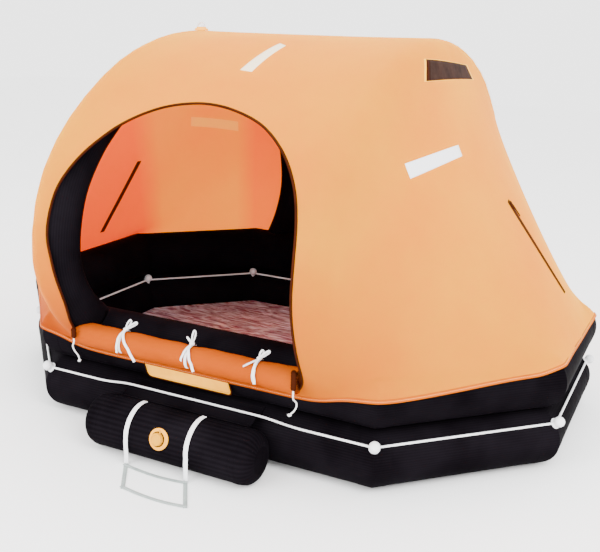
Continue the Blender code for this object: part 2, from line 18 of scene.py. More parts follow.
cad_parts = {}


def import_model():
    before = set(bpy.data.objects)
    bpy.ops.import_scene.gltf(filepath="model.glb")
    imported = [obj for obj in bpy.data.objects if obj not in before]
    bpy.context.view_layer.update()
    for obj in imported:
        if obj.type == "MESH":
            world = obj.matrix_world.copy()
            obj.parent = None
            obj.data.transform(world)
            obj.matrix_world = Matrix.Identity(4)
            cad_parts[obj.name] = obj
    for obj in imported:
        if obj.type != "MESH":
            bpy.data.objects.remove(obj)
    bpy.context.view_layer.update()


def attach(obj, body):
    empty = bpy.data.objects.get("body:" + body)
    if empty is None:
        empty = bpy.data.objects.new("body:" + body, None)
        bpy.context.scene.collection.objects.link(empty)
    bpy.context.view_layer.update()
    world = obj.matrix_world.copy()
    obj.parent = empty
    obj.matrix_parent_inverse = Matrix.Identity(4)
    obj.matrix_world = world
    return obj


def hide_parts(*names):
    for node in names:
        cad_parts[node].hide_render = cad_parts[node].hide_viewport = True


log = logging.getLogger("raft")


# --- Shared sizes ---

@dataclass(frozen=True)
class RaftSizes:
    """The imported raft's driving sizes, in metres."""

    tube: float = 0.1
    half_length: float = 0.998
    half_width: float = 0.681
    chamfer: float = 0.404
    lower_z: float = 0.1
    upper_z: float = 0.3004
    hoop: float = 0.075
    hoop_x: float = 0.469
    hoop_top: float = 1.268
    hem_z: float = 0.286
    float_radius: float = 0.088
    float_half: float = 0.3175
    float_x: float = -0.0175
    float_y: float = -0.8694
    strap_y: float = -0.959559
    hoop_half: tuple = (
        (0.681, 0.32), (0.812, 0.46), (0.872, 0.62), (0.838, 0.815),
        (0.74, 0.965), (0.592, 1.09), (0.42, 1.186), (0.215, 1.248),
    )

    def octagon(self, offset: float, height: float) -> ndarray:
        """Corners of the tubes' octagon, moved out by offset.

        Args:
            offset: distance out from the tube's centreline.
            height: the corners' z.

        Returns:
            Eight points, anticlockwise from the right end's front corner.
        """
        x = self.half_length + offset
        y = self.half_width + offset
        cut = self.chamfer + offset * (2.0 - sqrt(2.0))
        corners = [(x, -y + cut), (x, y - cut), (x - cut, y), (-x + cut, y)]
        corners += [(-x, y - cut), (-x, -y + cut), (-x + cut, -y), (x - cut, -y)]
        return np.array([(px, py, height) for px, py in corners])

    def hoop_line(self, steps: int) -> ndarray:
        """The smooth centreline of a hoop in its own plane.

        Args:
            steps: points for each span between the measured ones.

        Returns:
            (y, z) rows from the front foot to the back foot.
        """
        front = [(-out, z) for out, z in self.hoop_half]
        back = [(out, z) for out, z in reversed(self.hoop_half)]
        return smooth_line(front + [(0.0, self.hoop_top)] + back, steps)


SIZES = RaftSizes()


class Body(Enum):
    """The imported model's moving bodies."""

    RAFT = "raft"
    FLOAT = "float"
    LADDER = "ladder"


# --- Lines and meshes ---

def smooth_line(points: list, steps: int) -> ndarray:
    """A rounded line through all the given points.

    Args:
        points: at least two points, of two or three numbers each.
        steps: parts that each span is cut into.

    Returns:
        The finer line's points, one a row.
    """
    given = np.array(points, float)
    ends = np.vstack([2 * given[0] - given[1], given, 2 * given[-1] - given[-2]])
    line = []
    for before, here, there, after in zip(ends, ends[1:], ends[2:], ends[3:]):
        for step in range(steps):
            t = step / steps
            bend = 2 * before - 5 * here + 4 * there - after
            swing = 3 * here - before - 3 * there + after
            line.append(here + 0.5 * (t * (there - before) + t * t * bend + t ** 3 * swing))
    return np.array(line + [given[-1]])


def distances(line: ndarray) -> ndarray:
    """How far along a line of points each of them is."""
    return np.concatenate([[0.0], np.cumsum(np.linalg.norm(np.diff(line, axis=0), axis=1))])


def at_distances(line: ndarray, gone: ndarray, wanted: ndarray) -> ndarray:
    """The points at the wanted distances along a line whose own points are at gone."""
    return np.column_stack([np.interp(wanted, gone, column) for column in line.T])


def evenly(line: ndarray, count: int) -> ndarray:
    """The same line with that many points at equal distances."""
    gone = distances(line)
    return at_distances(line, gone, np.linspace(0.0, gone[-1], count))


def unit(vectors: ndarray) -> ndarray:
    """Rows scaled to length one."""
    return vectors / np.maximum(np.linalg.norm(vectors, axis=-1, keepdims=True), 1e-12)


def circle(radius: float, sides: int) -> ndarray:
    """A round section as (out, side) rows."""
    angle = 2 * np.pi * (np.arange(sides) + 0.5) / sides
    return np.column_stack([np.cos(angle), np.sin(angle)]) * radius


def strap_section(width: float, thickness: float) -> ndarray:
    """A flat strap's section with its corners eased.

    Args:
        width: its size along side.
        thickness: its size along out.

    Returns:
        Eight (out, side) rows.
    """
    w, t = width / 2, thickness / 2
    ease = min(0.3 * thickness, 0.0006)
    return np.array([
        (t, -w + ease), (t, w - ease), (t - ease, w), (-t + ease, w),
        (-t, w - ease), (-t, -w + ease), (-t + ease, -w), (t - ease, -w),
    ])


def laid_on(path: ndarray, section: ndarray, out: ndarray, side: ndarray) -> ndarray:
    """A section of (out, side) rows at every point of a path, along that point's own directions."""
    return (path[:, None] + section[None, :, 0, None] * out[:, None]
            + section[None, :, 1, None] * side[:, None])


def flat_rings(path: ndarray, side: tuple, section: ndarray, closed: bool) -> ndarray:
    """Sections along a flat path, mitred at its corners.

    Args:
        path: points in one plane.
        side: unit vector at right angles to that plane.
        section: (out, side) rows.
        closed: whether the path is a loop.

    Returns:
        An array of rings of points.
    """
    across = np.broadcast_to(np.array(side, float), path.shape)
    runs = unit(np.roll(path, -1, axis=0) - path)
    before = np.cross(np.roll(runs, 1, axis=0), across)
    after = np.cross(runs, across)
    if not closed:
        before[0] = after[0]
        after[-1] = before[-1]
    out = unit(before + after)
    stretch = 1.0 / np.sum(out * after, axis=1, keepdims=True)
    return laid_on(path, section, out * stretch, across)


def free_rings(path: ndarray, section: ndarray, out: ndarray | tuple) -> ndarray:
    """Sections along a free path that keep their own out directions.

    Args:
        path: points, one a row.
        section: (out, side) rows.
        out: one direction, or one for each point, roughly at right angles to the path.

    Returns:
        An array of rings of points.
    """
    run = unit(np.gradient(path, axis=0))
    out = np.broadcast_to(np.array(out, float), path.shape)
    out = unit(out - run * np.sum(out * run, axis=1, keepdims=True))
    return laid_on(path, section, out, np.cross(run, out))


def carried_out(path: ndarray, start: tuple) -> ndarray:
    """Out directions that turn no more than their path does.

    Args:
        path: points, one a row.
        start: the direction to begin with.

    Returns:
        A direction for each point.
    """
    out = [np.array(start, float)]
    for here in unit(np.gradient(path, axis=0)):
        last = out[-1] - here * np.dot(out[-1], here)
        out.append(last / np.linalg.norm(last))
    return np.array(out[1:])


def on_circle(centre: tuple, radius: float, degrees: float) -> tuple:
    """A (y, z) point on a circle, its angle counted from +Y towards +Z."""
    angle = radians(degrees)
    return centre[0] + radius * cos(angle), centre[1] + radius * sin(angle)


def across_run(run: list, x: float) -> ndarray:
    """A (y, z) run as points in the plane of that x."""
    return np.array([(x, y, z) for y, z in run])


def axis_place(place: tuple, axis: tuple) -> Matrix:
    """A frame at a place whose Z axis points along the given direction."""
    return Matrix.Translation(place) @ Vector(axis).to_track_quat("Z", "Y").to_matrix().to_4x4()


def ringed(corners: ndarray, count: int) -> ndarray:
    """A closed outline with that many points at equal distances."""
    return evenly(np.vstack([corners, corners[:1]]), count + 1)[:-1]


def shrunk(outline: ndarray, share: float, height: float) -> ndarray:
    """A flat outline made smaller about the raft's middle, and lifted."""
    return outline * (share, share, 1.0) + (0.0, 0.0, height)


def placed(place: Matrix, points: list | ndarray) -> ndarray:
    """Points moved from a frame's own axes to their place."""
    return np.array([tuple(place @ Vector(point)) for point in points])


def from_line(flat: ndarray, line: ndarray) -> ndarray:
    """Each point's (y, z) offset from the nearest point of a (y, z) line.

    Args:
        flat: points, one a row.
        line: the line's (y, z) rows.

    Returns:
        One (y, z) row for each point.
    """
    offset = flat[:, None, 1:] - line[None]
    nearest = np.argmin((offset ** 2).sum(axis=2), axis=1)
    return offset[np.arange(len(flat)), nearest]


def shove(flat: ndarray, gap: ndarray, radius: float | ndarray) -> None:
    """Push points that are too near a centreline out to its skin.

    Args:
        flat: points, one a row, which are moved.
        gap: each point's offset from the centreline.
        radius: the skin's distance, one for all or one for each point.
    """
    size = np.linalg.norm(gap, axis=1)
    near = size < radius
    wanted = np.broadcast_to(radius, size.shape)[near]
    flat[near] += gap[near] * (wanted / np.maximum(size[near], 1e-9) - 1.0)[:, None]


class Surface:
    """A mesh in the making, with a UV map in metres."""

    def __init__(self, rings: ndarray | None = None, **loops: bool) -> None:
        """Start with nothing, or with a first skin.

        Args:
            rings: the first skin's rows of points, if there is one.
            loops: what else grid is told.
        """
        self.points: list = []
        self.faces: list = []
        self.uvs: list = []
        if rings is not None:
            self.grid(rings, **loops)

    def grid(self, rings: ndarray, loop_ring: bool = True, loop_path: bool = False) -> None:
        """Add a skin over rings of points; a row of closed rings is capped at its open ends.

        Args:
            rings: rows of points, all of one length.
            loop_ring: whether each row closes on itself.
            loop_path: whether the last row joins the first.
        """
        rows, sides = rings.shape[:2]
        base = len(self.points)
        self.points += rings.reshape(-1, 3).tolist()
        middle = rings.mean(axis=1)
        u = distances(np.vstack([rings[0], rings[:1, 0]]))
        v = distances(np.vstack([middle, middle[:1]]))
        for row in range(rows if loop_path else rows - 1):
            after = (row + 1) % rows
            for step in range(sides if loop_ring else sides - 1):
                beside = (step + 1) % sides
                self.faces.append([base + row * sides + step, base + row * sides + beside,
                                   base + after * sides + beside, base + after * sides + step])
                self.uvs += [(u[step], v[row]), (u[step + 1], v[row]),
                             (u[step + 1], v[row + 1]), (u[step], v[row + 1])]
        if loop_ring and not loop_path:
            for row in (0, rows - 1):
                self.faces.append([base + row * sides + step for step in range(sides)])
                self.uvs += [(0.0, 0.0)] * sides

    def turned(self, profile: list, sides: int, place: Matrix) -> None:
        """Add a shape of (radius, height) rows, turned about its own Z axis in parts and then placed."""
        self.grid(np.array([placed(place, [(x, y, height) for x, y in circle(max(radius, 1e-5), sides)])
                            for radius, height in profile]))

    def piece(self, name: str, finish: "Finish", sharp: float = 40.0) -> Object:
        """Turn the mesh into an object.

        Args:
            name: the piece's name.
            finish: its finish.
            sharp: edges that bend by more degrees than this stay crisp.

        Returns:
            The object, at the origin.
        """
        mesh = bpy.data.meshes.new(name)
        mesh.from_pydata(self.points, [], self.faces)
        layer = mesh.uv_layers.new(name="UVMap")
        layer.data.foreach_set("uv", np.array(self.uvs, np.float32).ravel())
        work = bmesh.new()
        work.from_mesh(mesh)
        bmesh.ops.recalc_face_normals(work, faces=work.faces)
        work.to_mesh(mesh)
        work.free()
        return as_object(name, mesh, finish, sharp)

    def worn(self, name: str, finish: "Finish", sharp: float, slot: str, *nodes: str,
             body: Body = Body.RAFT) -> Object:
        """Turn the mesh into an object as piece does, and dress it."""
        return dressed(self.piece(name, finish, sharp), slot, *nodes, body=body)


def linked(name: str, data: ID) -> Object:
    """Put a new object into the scene.

    Args:
        name: its name.
        data: its mesh, light or camera.

    Returns:
        The object.
    """
    made = bpy.data.objects.new(name, data)
    bpy.context.scene.collection.objects.link(made)
    return made


def as_object(name: str, mesh: Mesh, finish: "Finish", sharp: float) -> Object:
    """A linked object for a mesh, smooth shaded and with its finish.

    Args:
        name: the object's name.
        mesh: its mesh.
        finish: its finish.
        sharp: edges that bend by more degrees than this stay crisp.

    Returns:
        The object.
    """
    mesh.shade_smooth()
    mesh.set_sharp_from_angle(angle=radians(sharp))
    mesh.materials.clear()
    mesh.materials.append(finish.material())
    return linked(name, mesh)


def as_evaluated(made: Object) -> Mesh:
    """A plain mesh of what an object's modifiers make, which are then taken off.

    Args:
        made: the object.

    Returns:
        The mesh.
    """
    mesh = bpy.data.meshes.new_from_object(made.evaluated_get(bpy.context.evaluated_depsgraph_get()))
    made.modifiers.clear()
    return mesh


def changed(made: Object, kind: str, **settings: object) -> None:
    """Run a modifier on an object.

    Args:
        made: the object, whose mesh is changed.
        kind: the modifier's type.
        settings: the modifier's settings.
    """
    modifier = made.modifiers.new("change", kind)
    for key, value in settings.items():
        setattr(modifier, key, value)
    made.data = as_evaluated(made)


def cut_away(made: Object, cutter: Object) -> None:
    """Cut a closed shape out of an object, and delete that shape."""
    changed(made, "BOOLEAN", operation="DIFFERENCE", solver="EXACT", object=cutter)
    bpy.data.objects.remove(cutter)


def dressed(made: Object, slot: str, *nodes: str, body: Body = Body.RAFT) -> Object:
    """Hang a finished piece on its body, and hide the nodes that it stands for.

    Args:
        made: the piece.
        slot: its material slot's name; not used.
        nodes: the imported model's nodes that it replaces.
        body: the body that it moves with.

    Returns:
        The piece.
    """
    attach(made, body.value)
    if nodes:
        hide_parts(*nodes)
    log.info("%s: %d faces", made.name, len(made.data.polygons))
    return made


def plate(outline: ndarray, shift: tuple, ease: float = 0.0006) -> Surface:
    """A flat plate with eased edges.

    Args:
        outline: its corners in one plane.
        shift: the vector from its back to its face.
        ease: how far its edges are eased.

    Returns:
        The plate's surface.
    """
    up = np.array(shift, float)
    inward = unit(outline.mean(axis=0) - outline) * ease
    lift = unit(up) * ease
    return Surface(np.array([outline + inward, outline + lift, outline + up - lift, outline + up + inward]))


# --- Nodes ---

def feed(tree: NodeTree, node: Node, inputs: dict) -> None:
    """Set or link a node's input sockets.

    Args:
        tree: the tree that the node is in.
        node: the node.
        inputs: socket names or numbers, with a value or another node's output.
    """
    for key, value in inputs.items():
        if isinstance(value, NodeSocket):
            tree.links.new(value, node.inputs[key])
        else:
            node.inputs[key].default_value = value


def add_node(tree: NodeTree, kind: str, inputs: dict, settings: dict) -> Node:
    """Add a node to a tree.

    Args:
        tree: the tree.
        kind: the node's type.
        inputs: its input sockets, as feed takes them.
        settings: settings of the node itself.

    Returns:
        The new node.
    """
    node = tree.nodes.new(kind)
    for key, value in settings.items():
        setattr(node, key, value)
    feed(tree, node, inputs)
    return node


class NodeRecipe:
    """A Geometry Nodes tree over lines of edges, with named inputs, built step by step."""

    def __init__(self, name: str, sizes: dict) -> None:
        """Start a tree.

        Args:
            name: the tree's name.
            sizes: the names of its inputs for sizes, with their values.
        """
        self.tree = bpy.data.node_groups.new(name, "GeometryNodeTree")
        self.sizes = sizes
        self.identifiers: dict = {}
        kinds = {"Geometry": "NodeSocketGeometry", "Finish": "NodeSocketMaterial"}
        kinds.update(dict.fromkeys(sizes, "NodeSocketFloat"))
        for key, kind in kinds.items():
            socket = self.tree.interface.new_socket(key, in_out="INPUT", socket_type=kind)
            self.identifiers[key] = socket.identifier
        self.source = self.tree.nodes.new("NodeGroupInput")

    def given(self, name: str) -> NodeSocket:
        """The socket that carries a named input."""
        return self.source.outputs[name]

    def step(self, kind: str, inputs: dict | None = None, out: int | str = 0,
             **settings: object) -> NodeSocket:
        """Add a node as add_node does, and give back one of its outputs."""
        return add_node(self.tree, kind, inputs or {}, settings).outputs[out]

    def times(self, a: NodeSocket, b: NodeSocket | float) -> NodeSocket:
        """Two numbers multiplied."""
        return self.step("ShaderNodeMath", {0: a, 1: b}, operation="MULTIPLY")

    def spaced(self, pitch: str) -> NodeSocket:
        """The lines as curves, with points as far apart as the named input says."""
        curve = self.step("GeometryNodeMeshToCurve", {"Mesh": self.given("Geometry")})
        return self.step("GeometryNodeResampleCurve", {"Curve": curve, "Length": self.given(pitch)}, mode="LENGTH")

    def close(self, geometry: NodeSocket) -> "NodeRecipe":
        """End the tree in real geometry that has its finish.

        Args:
            geometry: what the tree made.

        Returns:
            The recipe itself.
        """
        real = self.step("GeometryNodeRealizeInstances", {"Geometry": geometry})
        painted = self.step("GeometryNodeSetMaterial", {"Geometry": real, "Material": self.given("Finish")})
        self.tree.interface.new_socket("Geometry", in_out="OUTPUT", socket_type="NodeSocketGeometry")
        self.tree.links.new(painted, self.tree.nodes.new("NodeGroupOutput").inputs[0])
        return self

    def make(self, name: str, lines: list, finish: "Finish", ups: list | None = None,
             closed: bool = False) -> Object:
        """Run the recipe over lines and keep the result as a plain mesh.

        Args:
            name: the new piece's name.
            lines: arrays of points.
            finish: the finish that the tree sets.
            ups: for each line, the direction that its items stand up in, for each point.
            closed: whether each line closes on itself.

        Returns:
            The new object.
        """
        points, edges, stand = [], [], []
        for number, line in enumerate(lines):
            base = len(points)
            points += [tuple(point) for point in line]
            edges += [(base + step, base + step + 1) for step in range(len(line) - 1)]
            if closed:
                edges.append((base + len(line) - 1, base))
            stand += [tuple(up) for up in ups[number]] if ups else [(0.0, 0.0, 1.0)] * len(line)
        mesh = bpy.data.meshes.new(name + "_line")
        mesh.from_pydata(points, edges, [])
        attribute = mesh.attributes.new("stand", "FLOAT_VECTOR", "POINT")
        attribute.data.foreach_set("vector", np.array(stand, np.float32).ravel())
        carrier = linked(name + "_line", mesh)
        modifier = carrier.modifiers.new("recipe", "NODES")
        modifier.node_group = self.tree
        modifier[self.identifiers["Finish"]] = finish.material()
        for key, value in self.sizes.items():
            modifier[self.identifiers[key]] = value
        made = as_evaluated(carrier)
        bpy.data.objects.remove(carrier)
        made.name = name
        return as_object(name, made, finish, 60.0)


def rope_recipe(radius: float, turns: float, step: float) -> NodeRecipe:
    """A twisted three-strand rope along lines.

    Args:
        radius: the rope's radius.
        turns: the strands' turns in a metre.
        step: how far apart its rings are.

    Returns:
        The finished recipe.
    """
    recipe = NodeRecipe("twisted_rope", {"Radius": radius, "Turns per metre": turns, "Step": step})
    outer = recipe.given("Radius")
    fine = recipe.spaced("Step")
    along = recipe.step("GeometryNodeSplineParameter", out="Length")
    angle = recipe.times(recipe.times(along, recipe.given("Turns per metre")), 2 * pi)
    twisted = recipe.step("GeometryNodeSetCurveTilt", {"Curve": fine, "Tilt": angle})
    star = recipe.step("GeometryNodeCurveStar", {
        "Points": 3, "Inner Radius": recipe.times(outer, 0.72), "Outer Radius": outer})
    strands = recipe.step("GeometryNodeFilletCurve", {
        "Curve": star, "Radius": recipe.times(outer, 0.45), "Limit Radius": True, "Count": 2}, mode="POLY")
    return recipe.close(recipe.step("GeometryNodeCurveToMesh", {
        "Curve": twisted, "Profile Curve": strands, "Fill Caps": True}))


class Item(Enum):
    """What a row is made of."""

    STITCH = "rounded stitch"
    TOOTH = "square zip tooth"


@dataclass(frozen=True)
class ItemRow:
    """Stitches or zip teeth in a row along lines, with one item's sizes."""

    spacing: float
    length: float
    width: float
    height: float
    item: Item = Item.STITCH

    def recipe(self, name: str) -> NodeRecipe:
        """The row's tree.

        Args:
            name: the tree's name.

        Returns:
            The finished recipe.
        """
        recipe = NodeRecipe(name, {
            "Spacing": self.spacing, "Length": self.length, "Width": self.width, "Height": self.height})
        fine = recipe.spaced("Spacing")
        if self.item is Item.TOOTH:
            item = recipe.step("GeometryNodeMeshCube", {"Size": (1.0, 1.0, 1.0)})
        else:
            item = recipe.step("GeometryNodeMeshIcoSphere", {"Radius": 0.5, "Subdivisions": 2})
        size = recipe.step("ShaderNodeCombineXYZ", {
            0: recipe.given("Length"), 1: recipe.given("Width"), 2: recipe.given("Height")})
        tangent = recipe.step("GeometryNodeInputTangent")
        up = recipe.step("GeometryNodeInputNamedAttribute", {"Name": "stand"}, data_type="FLOAT_VECTOR")
        stood = recipe.step("FunctionNodeAlignRotationToVector", {"Vector": up}, axis="Z")
        turned = recipe.step(
            "FunctionNodeAlignRotationToVector", {"Rotation": stood, "Vector": tangent}, axis="X", pivot_axis="Z")
        return recipe.close(recipe.step("GeometryNodeInstanceOnPoints", {
            "Points": fine, "Instance": item, "Rotation": turned, "Scale": size}))

    def sewn(self, name: str, lines: list, finish: "Finish", slot: str, ups: list | None = None,
             closed: bool = False, body: Body = Body.RAFT) -> Object:
        """Set the row along lines, as NodeRecipe.make does, and dress it."""
        return dressed(self.recipe(name).make(name, lines, finish, ups, closed), slot, body=body)


class Shader:
    """A Principled material in the making."""

    def __init__(self, name: str) -> None:
        """Start a material of that name."""
        self.made = bpy.data.materials.new(name)
        self.made.use_nodes = True
        self.tree = self.made.node_tree
        self.surface = self.tree.nodes["Principled BSDF"]

    def node(self, kind: str, inputs: dict | None = None, **settings: object) -> Node:
        """Add a node, as add_node does."""
        return add_node(self.tree, kind, inputs or {}, settings)

    def place(self, source: str = "Object") -> NodeSocket:
        """The coordinate of that name."""
        return self.node("ShaderNodeTexCoord").outputs[source]

    def axis(self, where: NodeSocket, letter: str) -> NodeSocket:
        """One of a vector's three numbers."""
        return self.node("ShaderNodeSeparateXYZ", {0: where}).outputs[letter]

    def cloud(self, where: NodeSocket, scale: float, detail: float = 4.0) -> NodeSocket:
        """A soft noise from 0 to 1."""
        return self.node("ShaderNodeTexNoise", {"Vector": where, "Scale": scale, "Detail": detail}).outputs["Fac"]

    def cells(self, where: NodeSocket, scale: float, randomness: float = 1.0) -> NodeSocket:
        """How far a place is from the edge of its cell."""
        return self.node(
            "ShaderNodeTexVoronoi", {"Vector": where, "Scale": scale, "Randomness": randomness},
            feature="DISTANCE_TO_EDGE").outputs["Distance"]

    def between(self, share: NodeSocket, low: tuple, high: tuple,
                start: float = 0.3, end: float = 0.7) -> NodeSocket:
        """A colour that goes from low to high as share goes from start to end.

        Args:
            share: what the colour goes by.
            low: the first colour.
            high: the last colour.
            start: the share that low is at.
            end: the share that high is at.

        Returns:
            The colour's socket.
        """
        ramp = self.node("ShaderNodeValToRGB", {"Fac": share})
        for stop, position, colour in zip(ramp.color_ramp.elements, (start, end), (low, high)):
            stop.position = position
            stop.color = (*colour, 1.0)
        return ramp.outputs["Color"]

    def span(self, share: NodeSocket, low: float, high: float) -> NodeSocket:
        """A number that goes from low to high as share goes from 0 to 1."""
        return self.node("ShaderNodeMapRange", {"Value": share, "To Min": low, "To Max": high}).outputs[0]

    def part(self, value: NodeSocket, start: float, stop: float) -> NodeSocket:
        """A share that goes from 0 to 1 as value goes from start to stop."""
        return self.node("ShaderNodeMapRange", {"Value": value, "From Min": start, "From Max": stop}).outputs[0]

    def blend(self, share: NodeSocket | float, a: NodeSocket,
              b: NodeSocket | tuple, kind: str = "RGBA") -> NodeSocket:
        """Two colours or vectors mixed by share."""
        return self.node("ShaderNodeMix", {"Factor": share, "A": a, "B": b}, data_type=kind).outputs["Result"]

    def weave(self, pitch: float, direction: str, where: NodeSocket) -> NodeSocket:
        """Even bands across one direction, from 0 to 1."""
        return self.node(
            "ShaderNodeTexWave", {"Vector": where, "Scale": 0.314 / pitch, "Distortion": 0.0},
            wave_type="BANDS", bands_direction=direction).outputs["Fac"]

    def mixed(self, kind: str, a: NodeSocket, b: NodeSocket | float) -> NodeSocket:
        """Two numbers combined."""
        return self.node("ShaderNodeMath", {0: a, 1: b}, operation=kind).outputs[0]

    def times(self, a: NodeSocket, b: NodeSocket | float) -> NodeSocket:
        """Two numbers multiplied."""
        return self.mixed("MULTIPLY", a, b)

    def bump(self, height: NodeSocket, distance: float, strength: float = 1.0,
             under: NodeSocket | None = None) -> NodeSocket:
        """A bump that adds its relief to another one's.

        Args:
            height: the relief.
            distance: its depth in metres.
            strength: how strong it looks.
            under: the bump that it is added to.

        Returns:
            The normal's socket.
        """
        inputs = {"Height": height, "Distance": distance, "Strength": strength}
        if under is not None:
            inputs["Normal"] = under
        return self.node("ShaderNodeBump", inputs).outputs["Normal"]


# --- Finishes ---

class Finish:
    """A finish whose material is made once."""

    name: str
    made: dict = {}

    def material(self) -> Material:
        """The finish's material, made when it is first asked for.

        Returns:
            The material.
        """
        if self not in Finish.made:
            shader = Shader(self.name)
            feed(shader.tree, shader.surface, self.mix(shader))
            Finish.made[self] = shader.made
        return Finish.made[self]

    def mix(self, shader: Shader) -> dict:
        """Lay out the finish's nodes.

        Args:
            shader: the material in the making.

        Returns:
            What the surface's own sockets get.
        """
        raise NotImplementedError


@dataclass(frozen=True)
class CoatedTube(Finish):
    """Black coated tube fabric with fine lengthwise ribs and a satin skin."""

    name: str = "black_coated_fabric"
    dark: tuple = (0.0018, 0.0013, 0.0019)
    pale: tuple = (0.0064, 0.0052, 0.007)
    rib: float = 0.0085

    def mix(self, shader: Shader) -> dict:
        """Lay out the tube fabric's nodes, as Finish.mix says."""
        where = shader.place()
        ribs = shader.weave(self.rib, "X", shader.place("UV"))
        patches = shader.cloud(where, 5.0, 6.0)
        scuffs = shader.cloud(where, 60.0, 8.0)
        tone = shader.mixed("ADD", shader.times(patches, 0.86), shader.times(ribs, 0.14))
        relief = shader.bump(ribs, 0.0003, 0.28)
        relief = shader.bump(scuffs, 0.0004, 0.35, relief)
        relief = shader.bump(patches, 0.004, 0.35, relief)
        return {
            "Base Color": shader.between(tone, self.dark, self.pale),
            "Roughness": shader.span(scuffs, 0.36, 0.58),
            "Specular IOR Level": 0.0015,
            "Normal": relief,
        }


@dataclass(frozen=True)
class CanopyCloth(Finish):
    """Proofed orange canopy cloth, with painted shade low down by the entrance.

    The painted shade grows down the heights, along x towards the entrance and towards the front, each given
    as where it starts and where it is full; shift and turn place the line that x is counted from.
    """

    name: str = "orange_canopy_cloth"
    low: tuple = (0.72, 0.16, 0.0004)
    high: tuple = (0.8, 0.215, 0.0008)
    # shade is the colour of the painted shade.
    shade: tuple = (0.27, 0.037, 0.0001)
    glow: float = 0.85
    heights: tuple = (0.82, 0.33)
    beside: tuple = (1.15, 0.55)
    fronts: tuple = (-0.3, -0.6)
    shift: float = 0.3
    turn: float = 0.0
    thread: float = 0.0016

    def sewn(self, shader: Shader, where: NodeSocket, tone: NodeSocket) -> NodeSocket:
        """The cloth's colour with what is sewn onto it, which is nothing on plain cloth."""
        return tone

    def mix(self, shader: Shader) -> dict:
        """Lay out the cloth's nodes, as Finish.mix says."""
        where, flat = shader.place(), shader.place("UV")
        body = shader.between(shader.cloud(where, 2.2, 3.0), self.low, self.high)
        turned = shader.node("ShaderNodeMapping", {
            "Vector": where, "Location": (self.shift, 0.0, 0.0), "Rotation": (0.0, 0.0, self.turn)}).outputs[0]
        away = shader.mixed("ABSOLUTE", shader.axis(turned, "X"), 0.0)
        # Painted shade: these masks move the colour towards shade low down, away from the line x is counted from, and
        # towards the front.
        low_down, near_door, at_front = (shader.part(value, *ends) for value, ends in (
            (shader.axis(where, "Z"), self.heights), (away, self.beside), (shader.axis(where, "Y"), self.fronts)))
        shaded = shader.times(shader.times(low_down, near_door), at_front)
        threads = shader.times(*(shader.weave(self.thread, letter, flat) for letter in "XY"))
        slubs = shader.cloud(flat, 140.0, 3.0)
        relief = shader.bump(threads, 0.0002, 0.12)
        relief = shader.bump(slubs, 0.0003, 0.25, relief)
        relief = shader.bump(shader.cloud(where, 9.0, 2.0), 0.006, 0.22, relief)
        return {
            "Base Color": self.sewn(shader, where, shader.blend(shaded, body, (*self.shade, 1.0))),
            "Roughness": shader.span(slubs, 0.5, 0.66),
            "Specular IOR Level": 0.02,
            "Subsurface Weight": self.glow,
            "Subsurface Radius": (0.02, 0.01, 0.004),
            "Subsurface Scale": 0.5,
            "Normal": relief,
        }


@dataclass(frozen=True)
class CanopyLining(CanopyCloth):
    """The canopy's inner face, with a pale tape on it high up at the back left.

    The tape is a leaning strip about its middle; along and across are its sides as vectors.
    """

    tape: tuple = (0.98, 0.4, 0.12)
    middle: tuple = (-0.6747, 0.413, 0.943)
    along: tuple = (0.057, 0.319, -0.0455)
    across: tuple = (-0.018, 0.029, -0.0485)
    full: tuple = (0.98, 0.9)

    def sewn(self, shader: Shader, where: NodeSocket, tone: NodeSocket) -> NodeSocket:
        """The lining's colour with the pale tape.

        Args:
            shader: the material in the making.
            where: the Object coordinate.
            tone: the lining's colour.

        Returns:
            The colour's socket.
        """
        along, across = Vector(self.along), Vector(self.across)
        facing = along.cross(across).normalized()
        square = facing.cross(along).normalized()
        frame = Matrix((along.normalized(), square, facing)).transposed()
        local = shader.node("ShaderNodeMapping", {
            "Vector": where, "Location": self.middle, "Rotation": tuple(frame.to_euler()),
            "Scale": (along.length / 2, across.dot(square) / 2, 1.0)}, vector_type="TEXTURE").outputs[0]
        y = shader.axis(local, "Y")
        lean = shader.times(y, along.dot(across) / along.length_squared)
        x = shader.mixed("SUBTRACT", shader.axis(local, "X"), lean)
        inside = [shader.part(shader.mixed("ABSOLUTE", value, 0.0), 1.0, full)
                  for value, full in zip((x, y), self.full)]
        return shader.blend(shader.times(*inside), tone, (*self.tape, 1.0))


@dataclass(frozen=True)
class WovenTape(Finish):
    """White woven webbing or ribbon, ribbed across."""

    name: str = "white_webbing"
    dark: tuple = (0.78, 0.78, 0.81)
    pale: tuple = (0.94, 0.94, 0.95)
    pitch: float = 0.0022

    def mix(self, shader: Shader) -> dict:
        """Lay out the webbing's nodes, as Finish.mix says."""
        flat = shader.place("UV")
        threads = shader.times(shader.weave(self.pitch, "Y", flat), shader.weave(0.7 * self.pitch, "X", flat))
        soil = shader.cloud(shader.place(), 24.0, 6.0)
        tone = shader.mixed("ADD", shader.times(threads, 0.45), shader.times(soil, 0.7))
        return {
            "Base Color": shader.between(tone, self.dark, self.pale, 0.2, 0.6),
            "Roughness": shader.span(soil, 0.62, 0.82),
            "Sheen Weight": 0.15,
            "Normal": shader.bump(threads, 0.0005, 0.6),
        }


@dataclass(frozen=True)
class LaidRope(Finish):
    """White laid rope with soft fibres."""

    name: str = "white_rope"
    dark: tuple = (0.6, 0.6, 0.62)
    pale: tuple = (0.88, 0.88, 0.88)

    def mix(self, shader: Shader) -> dict:
        """Lay out the rope's nodes, as Finish.mix says."""
        where = shader.place()
        fibres = shader.cloud(where, 420.0, 3.0)
        return {
            "Base Color": shader.between(shader.cloud(where, 14.0, 5.0), self.dark, self.pale, 0.15, 0.5),
            "Roughness": shader.span(fibres, 0.6, 0.85),
            "Sheen Weight": 0.2,
            "Normal": shader.bump(fibres, 0.0006, 0.5),
        }


